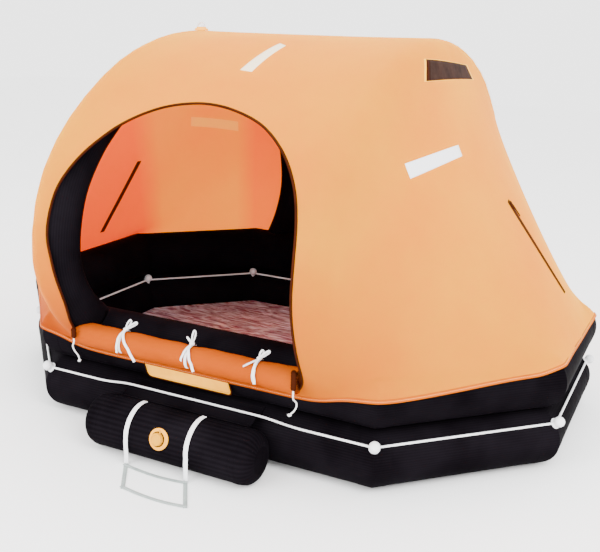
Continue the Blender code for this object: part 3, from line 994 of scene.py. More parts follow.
@dataclass(frozen=True)
class MouldedPlastic(Finish):
    """Moulded plastic or rubber with a faint grain and small scratches."""

    name: str
    dark: tuple
    pale: tuple
    rough: float = 0.42
    shine: float = 0.12
    grain: float = 380.0

    def mix(self, shader: Shader) -> dict:
        """Lay out the plastic's nodes, as Finish.mix says."""
        where = shader.place()
        grain = shader.cloud(where, self.grain, 4.0)
        return {
            "Base Color": shader.between(shader.cloud(where, 18.0, 5.0), self.dark, self.pale, 0.25, 0.7),
            "Roughness": shader.span(grain, self.rough - 0.08, self.rough + 0.12),
            "Specular IOR Level": self.shine,
            "Normal": shader.bump(grain, 0.0003, 0.35),
        }


@dataclass(frozen=True)
class CrinkledFoil(Finish):
    """Pink insulating floor sheet with pale metallic creases, drawn out along the raft."""

    name: str = "pink_crinkled_sheet"
    deep: tuple = (0.3, 0.085, 0.15)
    pink: tuple = (0.95, 0.84, 0.97)
    silver: tuple = (0.98, 0.97, 0.99)
    stretch: tuple = (0.38, 1.6, 1.0)
    warp: float = 0.22

    def mix(self, shader: Shader) -> dict:
        """Lay out the foil's nodes, as Finish.mix says."""
        drawn = shader.node("ShaderNodeMapping", {"Vector": shader.place(), "Scale": self.stretch}).outputs[0]
        swirl = shader.node("ShaderNodeTexNoise", {"Vector": drawn, "Scale": 5.0, "Detail": 5.0}).outputs["Color"]
        bent = shader.blend(self.warp, drawn, swirl, "VECTOR")
        creases = shader.cells(bent, 26.0)
        streaks = shader.cloud(bent, 42.0, 8.0)
        shade = shader.between(streaks, self.deep, self.pink, 0.42, 0.62)
        pale = shader.times(shader.part(creases, 0.14, 0.02), streaks)
        relief = shader.bump(creases, 0.01, 0.55)
        relief = shader.bump(streaks, 0.006, 0.6, relief)
        return {
            "Base Color": shader.blend(pale, shade, (*self.silver, 1.0)),
            "Metallic": 0.25,
            "Roughness": shader.span(streaks, 0.22, 0.5),
            "Normal": relief,
        }


@dataclass(frozen=True)
class BeadedTape(Finish):
    """Reflective tape: pale, with a fine honeycomb of cells under its clear skin."""

    name: str = "reflective_tape"
    pale: tuple = (0.84, 0.84, 0.87)
    line: tuple = (0.66, 0.66, 0.7)

    def mix(self, shader: Shader) -> dict:
        """Lay out the reflective tape's nodes, as Finish.mix says."""
        flat = shader.place("UV")
        cells = shader.cells(flat, 260.0, 0.25)
        return {
            "Base Color": shader.between(cells, self.line, self.pale, 0.0, 0.12),
            "Roughness": shader.span(shader.cloud(flat, 60.0), 0.22, 0.4),
            "Specular IOR Level": 0.6,
            "Coat Weight": 0.3,
            "Coat Roughness": 0.15,
            "Normal": shader.bump(cells, 0.0002, 0.3),
        }


@dataclass(frozen=True)
class ClearLens(Finish):
    """The lamp's clear moulded dome."""

    name: str = "clear_lens"
    tint: tuple = (0.92, 0.93, 0.95)

    def mix(self, shader: Shader) -> dict:
        """Lay out the lens's nodes, as Finish.mix says."""
        ripple = shader.cloud(shader.place(), 120.0, 2.0)
        return {
            "Base Color": (*self.tint, 1.0),
            "Roughness": shader.span(ripple, 0.06, 0.16),
            "Transmission Weight": 0.6,
            "IOR": 1.49,
            "Normal": shader.bump(ripple, 0.0004, 0.2),
        }


@dataclass(frozen=True)
class PaleFloor(Finish):
    """The studio's plain pale floor."""

    name: str = "pale_floor"
    colour: tuple = (0.97, 0.97, 0.97)

    def mix(self, shader: Shader) -> dict:
        """The floor's plain values."""
        return {"Base Color": (*self.colour, 1.0), "Roughness": 0.9, "Specular IOR Level": 0.1}


BLACK = CoatedTube()
CLOTH = CanopyCloth()
# The lining's pale middle band is painted light shining through the cloth, and its darker sides are painted shade.
LINING = CanopyLining(
    "orange_lining_painted_light", (0.95, 0.27, 0.02), (0.95, 0.33, 0.03), (0.92, 0.15, 0.01), glow=0.9,
    heights=(3.0, 2.9), beside=(0.18, 0.27), fronts=(2.0, 1.9), shift=0.402, turn=-0.571)
# The canopy cloth again, made darker: painted shade for the rolled door and the hem band.
SHADED_CLOTH = CanopyCloth(
    "orange_cloth_painted_shade", (0.36, 0.064, 0.0002), (0.48, 0.105, 0.0005), (0.32, 0.05, 0.0002), glow=0.1)
WEBBING = WovenTape()
# White webbing made grey: painted shade for the ladder's shaded edges on the floor.
SHADED_LADDER_WEB = WovenTape("white_webbing_painted_shade", (0.17, 0.21, 0.2), (0.34, 0.39, 0.37))
RIBBON = WovenTape("white_ribbon", (0.74, 0.73, 0.72), (0.9, 0.9, 0.9), 0.0014)
ROPE = LaidRope()
KNOB = MouldedPlastic("white_moulding", (0.66, 0.66, 0.68), (0.86, 0.86, 0.87))
CREAM = MouldedPlastic("cream_moulding", (0.84, 0.33, 0.01), (0.92, 0.42, 0.02), 0.45)
BROWN = MouldedPlastic("brown_trim", (0.024, 0.0048, 0.0016), (0.042, 0.0086, 0.0028), 0.55, 0.01)
PATCH = MouldedPlastic("dark_patch", (0.013, 0.0055, 0.0038), (0.032, 0.014, 0.009), 0.6, 0.02, 90.0)
ZIP = MouldedPlastic("maroon_zip_tape", (0.05, 0.01, 0.005), (0.09, 0.02, 0.009), 0.6, 0.02)
SEAM_BLACK = MouldedPlastic("black_tape", (0.002, 0.0018, 0.0022), (0.0055, 0.005, 0.006), 0.5, 0.05)
THREAD = MouldedPlastic("pale_thread", (0.8, 0.42, 0.18), (0.88, 0.52, 0.24), 0.7)
VALVE = MouldedPlastic("amber_moulding", (0.6, 0.26, 0.006), (0.7, 0.33, 0.012), 0.4)
GREY = MouldedPlastic("grey_base", (0.3, 0.3, 0.31), (0.42, 0.42, 0.43), 0.45)
FOIL = CrinkledFoil()
TAPE = BeadedTape()
CREAM_TAPE = BeadedTape("cream_reflective_tape", (0.9, 0.72, 0.46), (0.72, 0.52, 0.3))
LENS = ClearLens()
WEB_THREAD = ItemRow(0.0032, 0.0024, 0.0007, 0.0006)


# --- Studio ---

@dataclass
class Studio:
    """A pale floor, soft lights and the camera of the photograph."""

    eye: tuple = (1.429, -2.955, 1.373)
    right: tuple = (0.89524, 0.44466, 0.02863)
    down: tuple = (0.14912, -0.23844, -0.95965)
    forward: tuple = (-0.41989, 0.86338, -0.27976)
    lens: float = 51.402
    floor_half: float = 14.0
    floor_z: float = -0.0005
    sky: float = 3.2
    # Name, place, target, side in metres, power in watts.
    lights: tuple = (
        ("key", (3.4, -2.6, 3.8), (0.0, 0.0, 0.5), 2.6, 330.0),
        ("front", (-1.6, -4.6, 2.2), (0.0, 0.0, 0.4), 2.8, 210.0),
        ("top", (-0.5, 0.6, 4.4), (0.0, 0.0, 0.5), 3.0, 60.0),
        ("cabin", (-0.1, -0.6, 0.8), (-0.12, 0.4, 0.42), 0.35, 4.5),
    )

    def camera(self) -> None:
        """Put the camera where the photograph was taken from."""
        data = bpy.data.cameras.new("camera")
        data.lens = self.lens
        data.sensor_width = 36.0
        data.sensor_fit = "HORIZONTAL"
        data.clip_end = 60.0
        made = linked("camera", data)
        turn = Matrix((self.right, -Vector(self.down), -Vector(self.forward))).transposed().to_4x4()
        made.matrix_world = Matrix.Translation(self.eye) @ turn
        bpy.context.scene.camera = made

    def light(self, name: str, place: tuple, target: tuple, size: float, power: float) -> None:
        """Add a soft square light.

        Args:
            name: the light's name.
            place: where it stands.
            target: what it points at.
            size: its side.
            power: its power in watts.
        """
        data = bpy.data.lights.new(name, "AREA")
        data.size = size
        data.energy = power
        made = linked(name, data)
        made.location = place
        aim = Vector(target) - Vector(place)
        made.rotation_euler = aim.to_track_quat("-Z", "Y").to_euler()

    def build(self) -> None:
        """Make the camera, the floor, the lights and the sky."""
        self.camera()
        ends = (-self.floor_half, self.floor_half)
        rows = np.array([[(x, y, self.floor_z) for x in ends] for y in ends])
        Surface(rows, loop_ring=False).piece("floor", PaleFloor())
        for light in self.lights:
            self.light(*light)
        world = bpy.data.worlds.new("studio")
        world.use_nodes = True
        sky = world.node_tree.nodes["Background"]
        sky.inputs[0].default_value = (1.0, 1.0, 1.0, 1.0)
        sky.inputs[1].default_value = self.sky
        bpy.context.scene.world = world


# --- Tubes and hoops ---

@dataclass
class TubeRing:
    """One buoyancy tube with taped mitre joints."""

    node: str
    height: float
    sides: int = 72
    tape_half: float = 0.022
    tape_rise: float = 0.0009
    tape_edge: float = 0.0015

    def path(self) -> tuple:
        """The tube's centreline with its taped joints.

        Returns:
            The centreline's points, and how far the skin stands out at each.
        """
        corners = SIZES.octagon(0.0, self.height)
        half, wide, rise = self.tape_half, self.tape_half + self.tape_edge, self.tape_rise
        points, rises = [], []
        for index, here in enumerate(corners):
            before = unit(corners[index - 1] - here)
            after = unit(corners[(index + 1) % 8] - here)
            points += [here + before * wide, here + before * half, here, here + after * half, here + after * wide]
            rises += [0.0, rise, rise, rise, 0.0]
        return np.array(points), np.array(rises)

    def build(self) -> None:
        """Make the tube and put it in its node's place."""
        points, rises = self.path()
        rings = flat_rings(points, (0.0, 0.0, 1.0), circle(1.0, self.sides), closed=True)
        spokes = rings - points[:, None]
        rings = points[:, None] + spokes * (SIZES.tube + rises)[:, None, None]
        name = self.node.replace("tube", "buoyancy_tube")
        Surface(rings, loop_path=True).worn(name, BLACK, 20.0, "black_rubber", self.node)


@dataclass
class Hoop:
    """One inflated canopy hoop standing on the upper tube."""

    side: str
    x: float
    sides: int = 40
    seat_gap: float = 0.0004

    def build(self) -> None:
        """Make the hoop with its feet cut to the upper tube's skin."""
        flat = SIZES.hoop_line(6)
        path = np.column_stack([np.full(len(flat), self.x), flat])
        rings = flat_rings(path, (1.0, 0.0, 0.0), circle(SIZES.hoop, self.sides), closed=False)
        made = Surface(rings).piece(f"canopy_hoop_{self.side}", BLACK, 20.0)
        seat = flat_rings(SIZES.octagon(0.0, SIZES.upper_z), (0.0, 0.0, 1.0),
                          circle(SIZES.tube + self.seat_gap, 72), closed=True)
        cut_away(made, Surface(seat, loop_path=True).piece("seat", BLACK))
        dressed(made, "black_rubber", f"hoop_{self.side}")


# --- Canopy ---

@dataclass
class Canopy:
    """One sheet of cloth stretched over both hoops and tied down along the upper tube."""

    thickness: float = 0.0012
    clearance: float = 0.0036
    flat: tuple = (3.42, 2.6)
    levels: tuple = ((33, 33, 240), (65, 65, 120), (193, 161, 45))
    ridge: float = 7.0 / 16.0
    crowding: float = 1.5
    # How hard the cloth is drawn across: between the hoops, and past them above a height.
    between_pull: float = 0.03
    end_pull: float = 0.2
    pull_start: float = 0.1
    pull_above: tuple = (0.6, 0.45)
    # The hem's height: all along, less under the entrance, more along the ends and at the front corners.
    hem: float = 0.318
    hem_dip: float = 0.032
    hem_end: float = 0.037
    hem_corner: float = 0.034
    hem_corner_end: float = 0.022
    end_band: tuple = (1.03, 0.07)
    dip_band: tuple = (0.5, 0.03)
    front_corner: tuple = (1.1, -0.45)
    corner_spread: float = 0.38
    corner_slack: float = 0.0052
    corner_rise: float = 0.009
    corner_round: float = 0.11
    corner_fade: float = 0.028
    fold: float = 0.004
    drift: float = 0.0022
    binding: float = 0.0042
    hem_band: tuple = (0.013, 0.0016)
    hoop_line: ndarray = field(default_factory=lambda: SIZES.hoop_line(8))
    entrance: tuple = (
        (-0.456, 0.3), (-0.432, 0.395), (-0.408, 0.5), (-0.424, 0.63), (-0.44, 0.7), (-0.443, 0.76),
        (-0.432, 0.85), (-0.41, 0.91), (-0.374, 0.97), (-0.33, 1.02), (-0.285, 1.06), (-0.222, 1.096),
        (-0.148, 1.121), (-0.06, 1.133), (0.02, 1.131), (0.102, 1.118), (0.18, 1.097), (0.245, 1.068),
        (0.308, 1.026), (0.358, 0.976), (0.396, 0.915), (0.418, 0.84), (0.426, 0.75), (0.428, 0.64),
        (0.43, 0.53), (0.428, 0.45), (0.424, 0.4), (0.414, 0.358), (0.396, 0.326), (0.374, 0.303),
    )

    def hem_height(self, x: float, y: float) -> float:
        """The height the hem is tied at.

        Args:
            x: a place on the raft's outermost line.
            y: the same place's y.

        Returns:
            The hem's z there.
        """
        corner_x, corner_y = self.front_corner
        corner = exp(-(hypot(abs(x) - corner_x, y - corner_y) / self.corner_spread) ** 2)
        end = min(max((abs(x) - self.end_band[0]) / self.end_band[1], 0.0), 1.0)
        dip = 1.0 / (1.0 + exp((abs(x + 0.01) - self.dip_band[0]) / self.dip_band[1])) if y < -0.7 else 0.0
        return (self.hem - self.hem_dip * dip + (self.hem_corner - self.hem_corner_end * end) * corner
                + self.hem_end * end)

    @staticmethod
    def outside(flat: ndarray) -> tuple:
        """Where points are against the eight sides of the tubes' centreline.

        Args:
            flat: points, one a row.

        Returns:
            How far each point lies outside each side, and the sides' outward directions.
        """
        corners = SIZES.octagon(0.0, 0.0)
        runs = unit(np.roll(corners, -1, axis=0) - corners)
        outward = np.column_stack([runs[:, 1], -runs[:, 0], np.zeros(8)])
        return ((flat[:, None] - corners[None]) * outward[None]).sum(axis=2), outward

    def tie_down(self) -> None:
        """Lay out the hem: where it is on the tube for each place on the outermost line."""
        reach = SIZES.tube + self.clearance
        corners = SIZES.octagon(reach, 0.0)
        self.outermost = ringed(corners, 2400)
        heights = np.array([self.hem_height(x, y) for x, y, _ in self.outermost])
        near = np.linalg.norm(self.outermost[:, None] - corners[None], axis=2).min(axis=1)
        rounded = np.exp(-(near / self.corner_round) ** 2)
        inset = reach - np.sqrt(reach ** 2 - (heights - SIZES.upper_z) ** 2) - self.corner_slack * rounded
        outside, outward = self.outside(self.outermost * 0.999)
        line = self.outermost - outward[outside.argmax(axis=1)] * inset[:, None]
        line[:, 2] = heights + self.corner_rise * np.exp(-near / 0.07)
        half = 16
        window = np.hanning(2 * half + 1)
        window /= window.sum()
        for axis in range(3):
            wrapped = np.concatenate([line[-half:, axis], line[:, axis], line[:half, axis]])
            line[:, axis] = np.convolve(wrapped, window, mode="valid")
        self.hem_line = line

    def hem_point(self, x: float, y: float) -> tuple:
        """The hem's point for a place on the outermost line."""
        gap = (self.outermost[:, 0] - x) ** 2 + (self.outermost[:, 1] - y) ** 2
        return tuple(self.hem_line[int(gap.argmin())])

    def middle_section(self, count: int) -> ndarray:
        """The cloth's line over a hoop.

        Args:
            count: how many points are wanted.

        Returns:
            (y, z) rows from the front hem to the back hem.
        """
        line = self.hoop_line
        run = unit(np.gradient(line, axis=0))
        out = np.column_stack([-run[:, 1], run[:, 0]])
        outer = line + out * (SIZES.hoop + self.clearance)
        keep = outer[np.abs(line[:, 1]) > 0.45]
        front, back = (self.hem_point(SIZES.hoop_x, sign * (SIZES.half_width + SIZES.tube))[1:]
                       for sign in (-1.0, 1.0))
        return evenly(np.vstack([front, keep, back]), count)

    def first_guess(self, columns: int, rows: int) -> ndarray:
        """A rough cloth: straight between the hoops, and fanned down to each end.

        Args:
            columns: points along the raft.
            rows: points across it.

        Returns:
            The cloth's points.
        """
        corners = SIZES.octagon(SIZES.tube + self.clearance, SIZES.hem_z)
        end_x, end_y, corner_x = corners[1][0], corners[1][1], corners[2][0]
        side_y = SIZES.half_width + SIZES.tube + self.clearance
        walk, slant = corner_x - SIZES.hoop_x, hypot(end_x - corner_x, side_y - end_y)
        section = self.middle_section(rows)
        hoop = np.column_stack([np.full(rows, SIZES.hoop_x), section])
        end = np.array([self.hem_point(end_x, y) for y in np.linspace(-1.0, 1.0, rows) * end_y])
        grid = np.zeros((columns, rows, 3))
        for index, s in enumerate(np.linspace(-1.0, 1.0, columns)):
            if abs(s) <= self.ridge:
                x = s / self.ridge * SIZES.hoop_x
                row = np.column_stack([np.full(rows, x), section])
                row[0], row[-1] = self.hem_point(x, -side_y), self.hem_point(x, side_y)
                grid[index] = row
                continue
            a = float(self.crowded(np.array((abs(s) - self.ridge) / (1.0 - self.ridge))))
            row = (1.0 - a) * hoop + a * end
            gone = a * (walk + slant)
            for edge, sign in ((0, -1.0), (rows - 1, 1.0)):
                if gone <= walk:
                    row[edge] = self.hem_point(SIZES.hoop_x + gone, sign * side_y)
                else:
                    part = (gone - walk) / slant
                    row[edge] = self.hem_point(corner_x + part * (end_x - corner_x),
                                               sign * (side_y + part * (end_y - side_y)))
            row[:, 0] *= copysign(1.0, s)
            grid[index] = row
        return grid

    def push_out(self, grid: ndarray) -> ndarray:
        """Move points that lie inside a hoop or the upper tube out to its skin.

        Args:
            grid: the cloth's points.

        Returns:
            The moved points.
        """
        flat = grid.reshape(-1, 3)
        in_plane = from_line(flat, self.hoop_line)
        for x in (-SIZES.hoop_x, SIZES.hoop_x):
            shove(flat, np.column_stack([flat[:, 0] - x, in_plane]), SIZES.hoop + self.clearance)
        outside, outward = self.outside(flat)
        facing = np.argmax(outside, axis=1)
        gap = outward[facing] * outside[np.arange(len(flat)), facing][:, None]
        gap[:, 2] = flat[:, 2] - SIZES.upper_z
        ranked = np.sort(outside, axis=1)
        corner = np.exp(-((ranked[:, -1] - ranked[:, -2]) / self.corner_fade) ** 2)
        shove(flat, gap, SIZES.tube + self.clearance + 0.5 * self.corner_slack * corner)
        return flat.reshape(grid.shape)

    def crowded(self, share: ndarray) -> ndarray:
        """Shares of the way from a hoop to an end, set closer at both."""
        return 0.5 * (share ** self.crowding + 1.0 - (1.0 - share) ** self.crowding)

    def ridges(self, columns: int) -> tuple:
        """The two columns of points that lie over the hoops."""
        middle = columns // 2
        return round(middle * (1 - self.ridge)), round(middle * (1 + self.ridge))

    def spread(self, grid: ndarray) -> None:
        """Slide the points along the cloth until each end's are spaced alike, closest at the hoops.

        Args:
            grid: the cloth's points, which are moved.
        """
        left, right = self.ridges(len(grid))
        wanted = self.crowded(np.linspace(0.0, 1.0, left + 1))
        for row in range(1, grid.shape[1] - 1):
            for span in (grid[left::-1, row], grid[right:, row]):
                gone = distances(span)
                span[:] = at_distances(span, gone, wanted * gone[-1])

    def pin(self, grid: ndarray, held: ndarray) -> None:
        """Put the cloth's edges and its ridges over the hoops back in their held places.

        Args:
            grid: the cloth's points, which are moved.
            held: a cloth of the same size with the fixed points in their places.
        """
        grid[0], grid[-1], grid[:, 0], grid[:, -1] = held[0], held[-1], held[:, 0], held[:, -1]
        for ridge in self.ridges(len(grid)):
            grid[ridge] = held[ridge]

    def relax(self, grid: ndarray, held: ndarray, rounds: int) -> ndarray:
        """Let the cloth tighten over what it rests on.

        Args:
            grid: the cloth's points, columns along the raft and rows across it.
            held: a cloth of the same size with the fixed points in their places.
            rounds: how many small steps.

        Returns:
            The tightened cloth.
        """
        low, band = self.pull_above
        for step in range(rounds):
            here = grid[1:-1, 1:-1]
            along = 0.5 * (grid[2:, 1:-1] + grid[:-2, 1:-1]) - here
            across = 0.5 * (grid[1:-1, 2:] + grid[1:-1, :-2]) - here
            step_along = grid[2:, 1:-1] - grid[:-2, 1:-1]
            step_across = grid[1:-1, 2:] - grid[1:-1, :-2]
            normal = unit(np.cross(step_along, step_across))
            past = np.clip((np.abs(here[..., 0]) - SIZES.hoop_x) / self.pull_start, 0.0, 1.0)[..., None]
            ratio = (step_along ** 2).sum(-1) / np.maximum((step_across ** 2).sum(-1), 1e-9)
            above = np.clip((here[..., 2:] - low) / band, 0.0, 1.0)
            hold = (self.between_pull + self.end_pull * past * above) * np.clip(ratio[..., None], 0.05, 8.0)
            pull = (along + hold * across) / (1.0 + hold)
            even = 0.5 * (along + across)
            lift = normal * (pull * normal).sum(-1, keepdims=True)
            slip = even - normal * (even * normal).sum(-1, keepdims=True)
            grid[1:-1, 1:-1] = here + 0.9 * lift + 0.15 * slip
            if step % 15 == 10:
                self.spread(grid)
            if step % 4 == 0 or step > rounds - 3:
                grid = self.push_out(grid)
            self.pin(grid, held)
        return grid

    @staticmethod
    def refined(grid: ndarray, columns: int, rows: int) -> ndarray:
        """The same cloth with more points.

        Args:
            grid: the cloth's points.
            columns: points along the raft that are wanted.
            rows: points across it that are wanted.

        Returns:
            The finer cloth.
        """
        for axis, count in ((0, columns), (1, rows)):
            old = np.linspace(0.0, 1.0, grid.shape[axis])
            new = np.linspace(0.0, 1.0, count)
            grid = np.apply_along_axis(lambda line: np.interp(new, old, line), axis, grid)
        return grid

    def folds(self, grid: ndarray) -> ndarray:
        """Small folds where the cloth is gathered along its hem.

        Args:
            grid: the tightened cloth's points.

        Returns:
            The folded cloth.
        """
        normal = unit(np.cross(np.gradient(grid, axis=0), np.gradient(grid, axis=1)))
        if normal[len(grid) // 2, grid.shape[1] // 2, 2] < 0:
            normal = -normal
        depth = []
        for x, y, z in grid.reshape(-1, 3):
            low = exp(-max(z - 0.3, 0.0) / 0.11)
            walk = x if abs(y) > 0.5 else y
            ripple = noise.noise(Vector((walk * 14.0, z * 1.2, 3.0 + copysign(2.0, y))))
            soft = noise.noise(Vector((x * 2.6, y * 2.6, z * 2.2 + 11.0)))
            depth.append(self.fold * low * ripple + self.drift * soft)
        rise = np.clip((grid[..., 2] - 0.345) / 0.03, 0.0, 1.0)
        return self.push_out(grid + normal * (np.array(depth).reshape(grid.shape[:2]) * rise)[..., None])

    def sheet(self) -> ndarray:
        """The finished cloth's points.

        Returns:
            An array of columns and rows of points.
        """
        self.tie_down()
        grid = None
        for columns, rows, rounds in self.levels:
            held = self.first_guess(columns, rows)
            grid = held.copy() if grid is None else self.refined(grid, columns, rows)
            self.pin(grid, held)
            grid = self.relax(grid, held, rounds)
        return self.folds(grid)

    def entrance_line(self) -> ndarray:
        """The entrance's (x, z) edge, rounded."""
        return evenly(smooth_line(list(self.entrance), 8), 220)

    def build(self) -> BVHTree:
        """Make the cloth, cut the entrance and trim its edge.

        Returns:
            A tree of the cloth's outer face, for what is fixed to it.
        """
        made = Surface(self.sheet(), loop_ring=False).piece("canopy_cloth", CLOTH, 80.0)
        made.data.materials.append(LINING.material())
        if max(made.data.polygons, key=lambda face: face.center.z).normal.z < 0:
            made.data.flip_normals()
        tree = BVHTree.FromObject(made, bpy.context.evaluated_depsgraph_get())
        changed(made, "SOLIDIFY", thickness=self.thickness, offset=-1.0, material_offset=1)
        x, z = self.entrance_line().T
        near = np.column_stack([x, np.full(len(x), -1.4), z])
        cut_away(made, Surface(np.array([near, near + (0.0, 1.1, 0.0)])).piece("entrance_cutter", CLOTH))
        made.data.set_sharp_from_angle(angle=radians(70.0))
        dressed(made, "orange_cloth", "canopy_front", "canopy_roof", "canopy_back", *[
            f"canopy_{part}_{end}" for part in ("end", "corner_front", "corner_back") for end in ("left", "right")])
        trim = [self.piping(tree), *self.hemmed()]
        return tree

    def piping(self, tree: BVHTree) -> Object:
        """The dark bound edge round the entrance.

        Args:
            tree: the cloth's outer face.

        Returns:
            The piece.
        """
        found = [tree.ray_cast(Vector((x, -1.5, z)), Vector((0.0, 1.0, 0.0))) for x, z in self.entrance_line()]
        path, out = (np.array([tuple(hit[number]) for hit in found]) for number in (0, 1))
        surface = Surface(free_rings(path, circle(self.binding, 10), out))
        return surface.worn("entrance_binding", BROWN, 60.0, "brown_zip")

    def hemmed(self) -> list:
        """The doubled hem along the upper tube, and its stitches.

        Returns:
            The two pieces.
        """
        path = self.hem_line[::7]
        outside, outward = self.outside(path)
        away = outward[outside.argmax(axis=1)] * outside.max(axis=1)[:, None]
        away[:, 2] = path[:, 2] - SIZES.upper_z
        for _ in range(3):
            away = unit(away + np.roll(away, 1, axis=0) + np.roll(away, -1, axis=0))
        path = path + away * 0.0012
        path[:, 2] -= 0.003
        up = unit(np.cross(np.roll(path, -1, axis=0) - np.roll(path, 1, axis=0), away))
        up *= np.sign(up[:, 2:])
        band = Surface(laid_on(path, strap_section(*self.hem_band), away, up), loop_path=True)
        # The hem band's cloth carries painted shade.
        return [band.worn("canopy_hem", SHADED_CLOTH, 60.0, "orange_cloth"),
                ItemRow(0.0075, 0.0052, 0.0011, 0.0009).sewn(
                    "hem_stitching", [path + away * 0.0009], THREAD, "orange_cloth", [away], closed=True)]


# --- What is fixed to the canopy ---

@dataclass
class CanopyTrim:
    """Reflective tapes, the blank label patch and the zipped vents."""

    tree: BVHTree
    roof_tape: tuple = (
        (-0.003, -0.498, 1.232), (0.016, -0.261, 1.316), (0.054, -0.289, 1.308), (0.045, -0.505, 1.228))
    end_tape: tuple = (
        (0.605, -0.566, 0.997), (0.664, -0.225, 1.022), (0.679, -0.23, 0.986), (0.625, -0.563, 0.954))
    label: tuple = (
        (0.539, -0.236, 1.282), (0.558, 0.161, 1.256), (0.574, 0.196, 1.208), (0.563, -0.279, 1.221))
    vents: tuple = (
        ("left", ((-0.81, 0.026, 0.803), (-1.017, 0.025, 0.459))),
        ("right", ((0.799, -0.024, 0.82), (0.996, 0.099, 0.487))),
    )
    teeth: ItemRow = ItemRow(0.0042, 0.0026, 0.007, 0.002, Item.TOOTH)

    def settle(self, points: ndarray, lift: float) -> tuple:
        """Points moved onto the cloth and lifted off it.

        Args:
            points: an array of points, of any shape of rows.
            lift: height above the cloth's outer face.

        Returns:
            The moved points and the cloth's normals there.
        """
        found = [self.tree.find_nearest(Vector(point)) for point in points.reshape(-1, 3)]
        normal = np.array([tuple(hit[1]) for hit in found])
        moved = np.array([tuple(hit[0]) for hit in found]) + normal * lift
        return moved.reshape(points.shape), normal.reshape(points.shape)

    def patch(self, name: str, corners: tuple, lift: float, finish: Finish, shrink: float = 0.0) -> None:
        """A thin four-cornered patch that lies on the cloth.

        Args:
            name: the piece's name.
            corners: its corners in order.
            lift: height of its face above the cloth.
            finish: its finish.
            shrink: the share by which it is smaller than its corners say.
        """
        given = np.array(corners)
        given = given + (given.mean(axis=0) - given) * shrink
        across = np.linspace(0.0, 1.0, 33)[:, None, None]
        down = np.linspace(0.0, 1.0, 9)[None, :, None]
        top = (1 - across) * given[0] + across * given[1]
        low = (1 - across) * given[3] + across * given[2]
        face, normal = self.settle((1 - down) * top + down * low, lift)
        made = Surface(face, loop_ring=False).piece(name, finish, 60.0)
        if made.data.polygons[0].normal.dot(Vector(normal[0, 0])) < 0:
            made.data.flip_normals()
        changed(made, "SOLIDIFY", thickness=lift + 0.0004, offset=-1.0)
        dressed(made, "orange_cloth")

    def zipper(self, end: str, ends: tuple) -> None:
        """A zip with its two tapes, teeth, slider and pull tab.

        Args:
            end: which end of the raft it is in.
            ends: its upper and its lower end.
        """
        path, out = self.settle(evenly(np.array(ends), 60), 0.0012)
        tape = Surface(free_rings(path, strap_section(0.024, 0.0016), out))
        tape.worn(f"vent_tape_{end}", ZIP, 50.0, "brown_zip", f"vent_{end}")
        self.teeth.sewn(f"vent_teeth_{end}", [path + out * 0.0014], BROWN, "brown_zip", [out])
        slider = Surface(free_rings(path[1:6] + out[1:6] * 0.0032, strap_section(0.015, 0.0052), out[1:6]))
        tab = path[3:11] + out[3:11] * np.linspace(0.0062, 0.0075, 8)[:, None]
        slider.grid(free_rings(tab, strap_section(0.009, 0.0022), out[3:11]))
        slider.worn(f"vent_slider_{end}", BROWN, 50.0, "brown_zip")
        facing = Surface(free_rings(path - out * 0.003, strap_section(0.026, 0.0012), out))
        facing.worn(f"vent_facing_{end}", ZIP, 50.0, "brown_zip")

    def build(self) -> None:
        """Make all that is fixed to the cloth."""
        self.patch("end_tape", self.end_tape, 0.0008, TAPE)
        self.patch("roof_tape", self.roof_tape, 0.0008, CREAM_TAPE)
        self.patch("label_border", self.label, 0.0009, CREAM, -0.12)
        self.patch("label_edge", self.label, 0.0013, BROWN, -0.05)
        self.patch("label_patch", self.label, 0.0017, PATCH, 0.05)
        for end, ends in self.vents:
            self.zipper(end, ends)


# --- Entrance ---

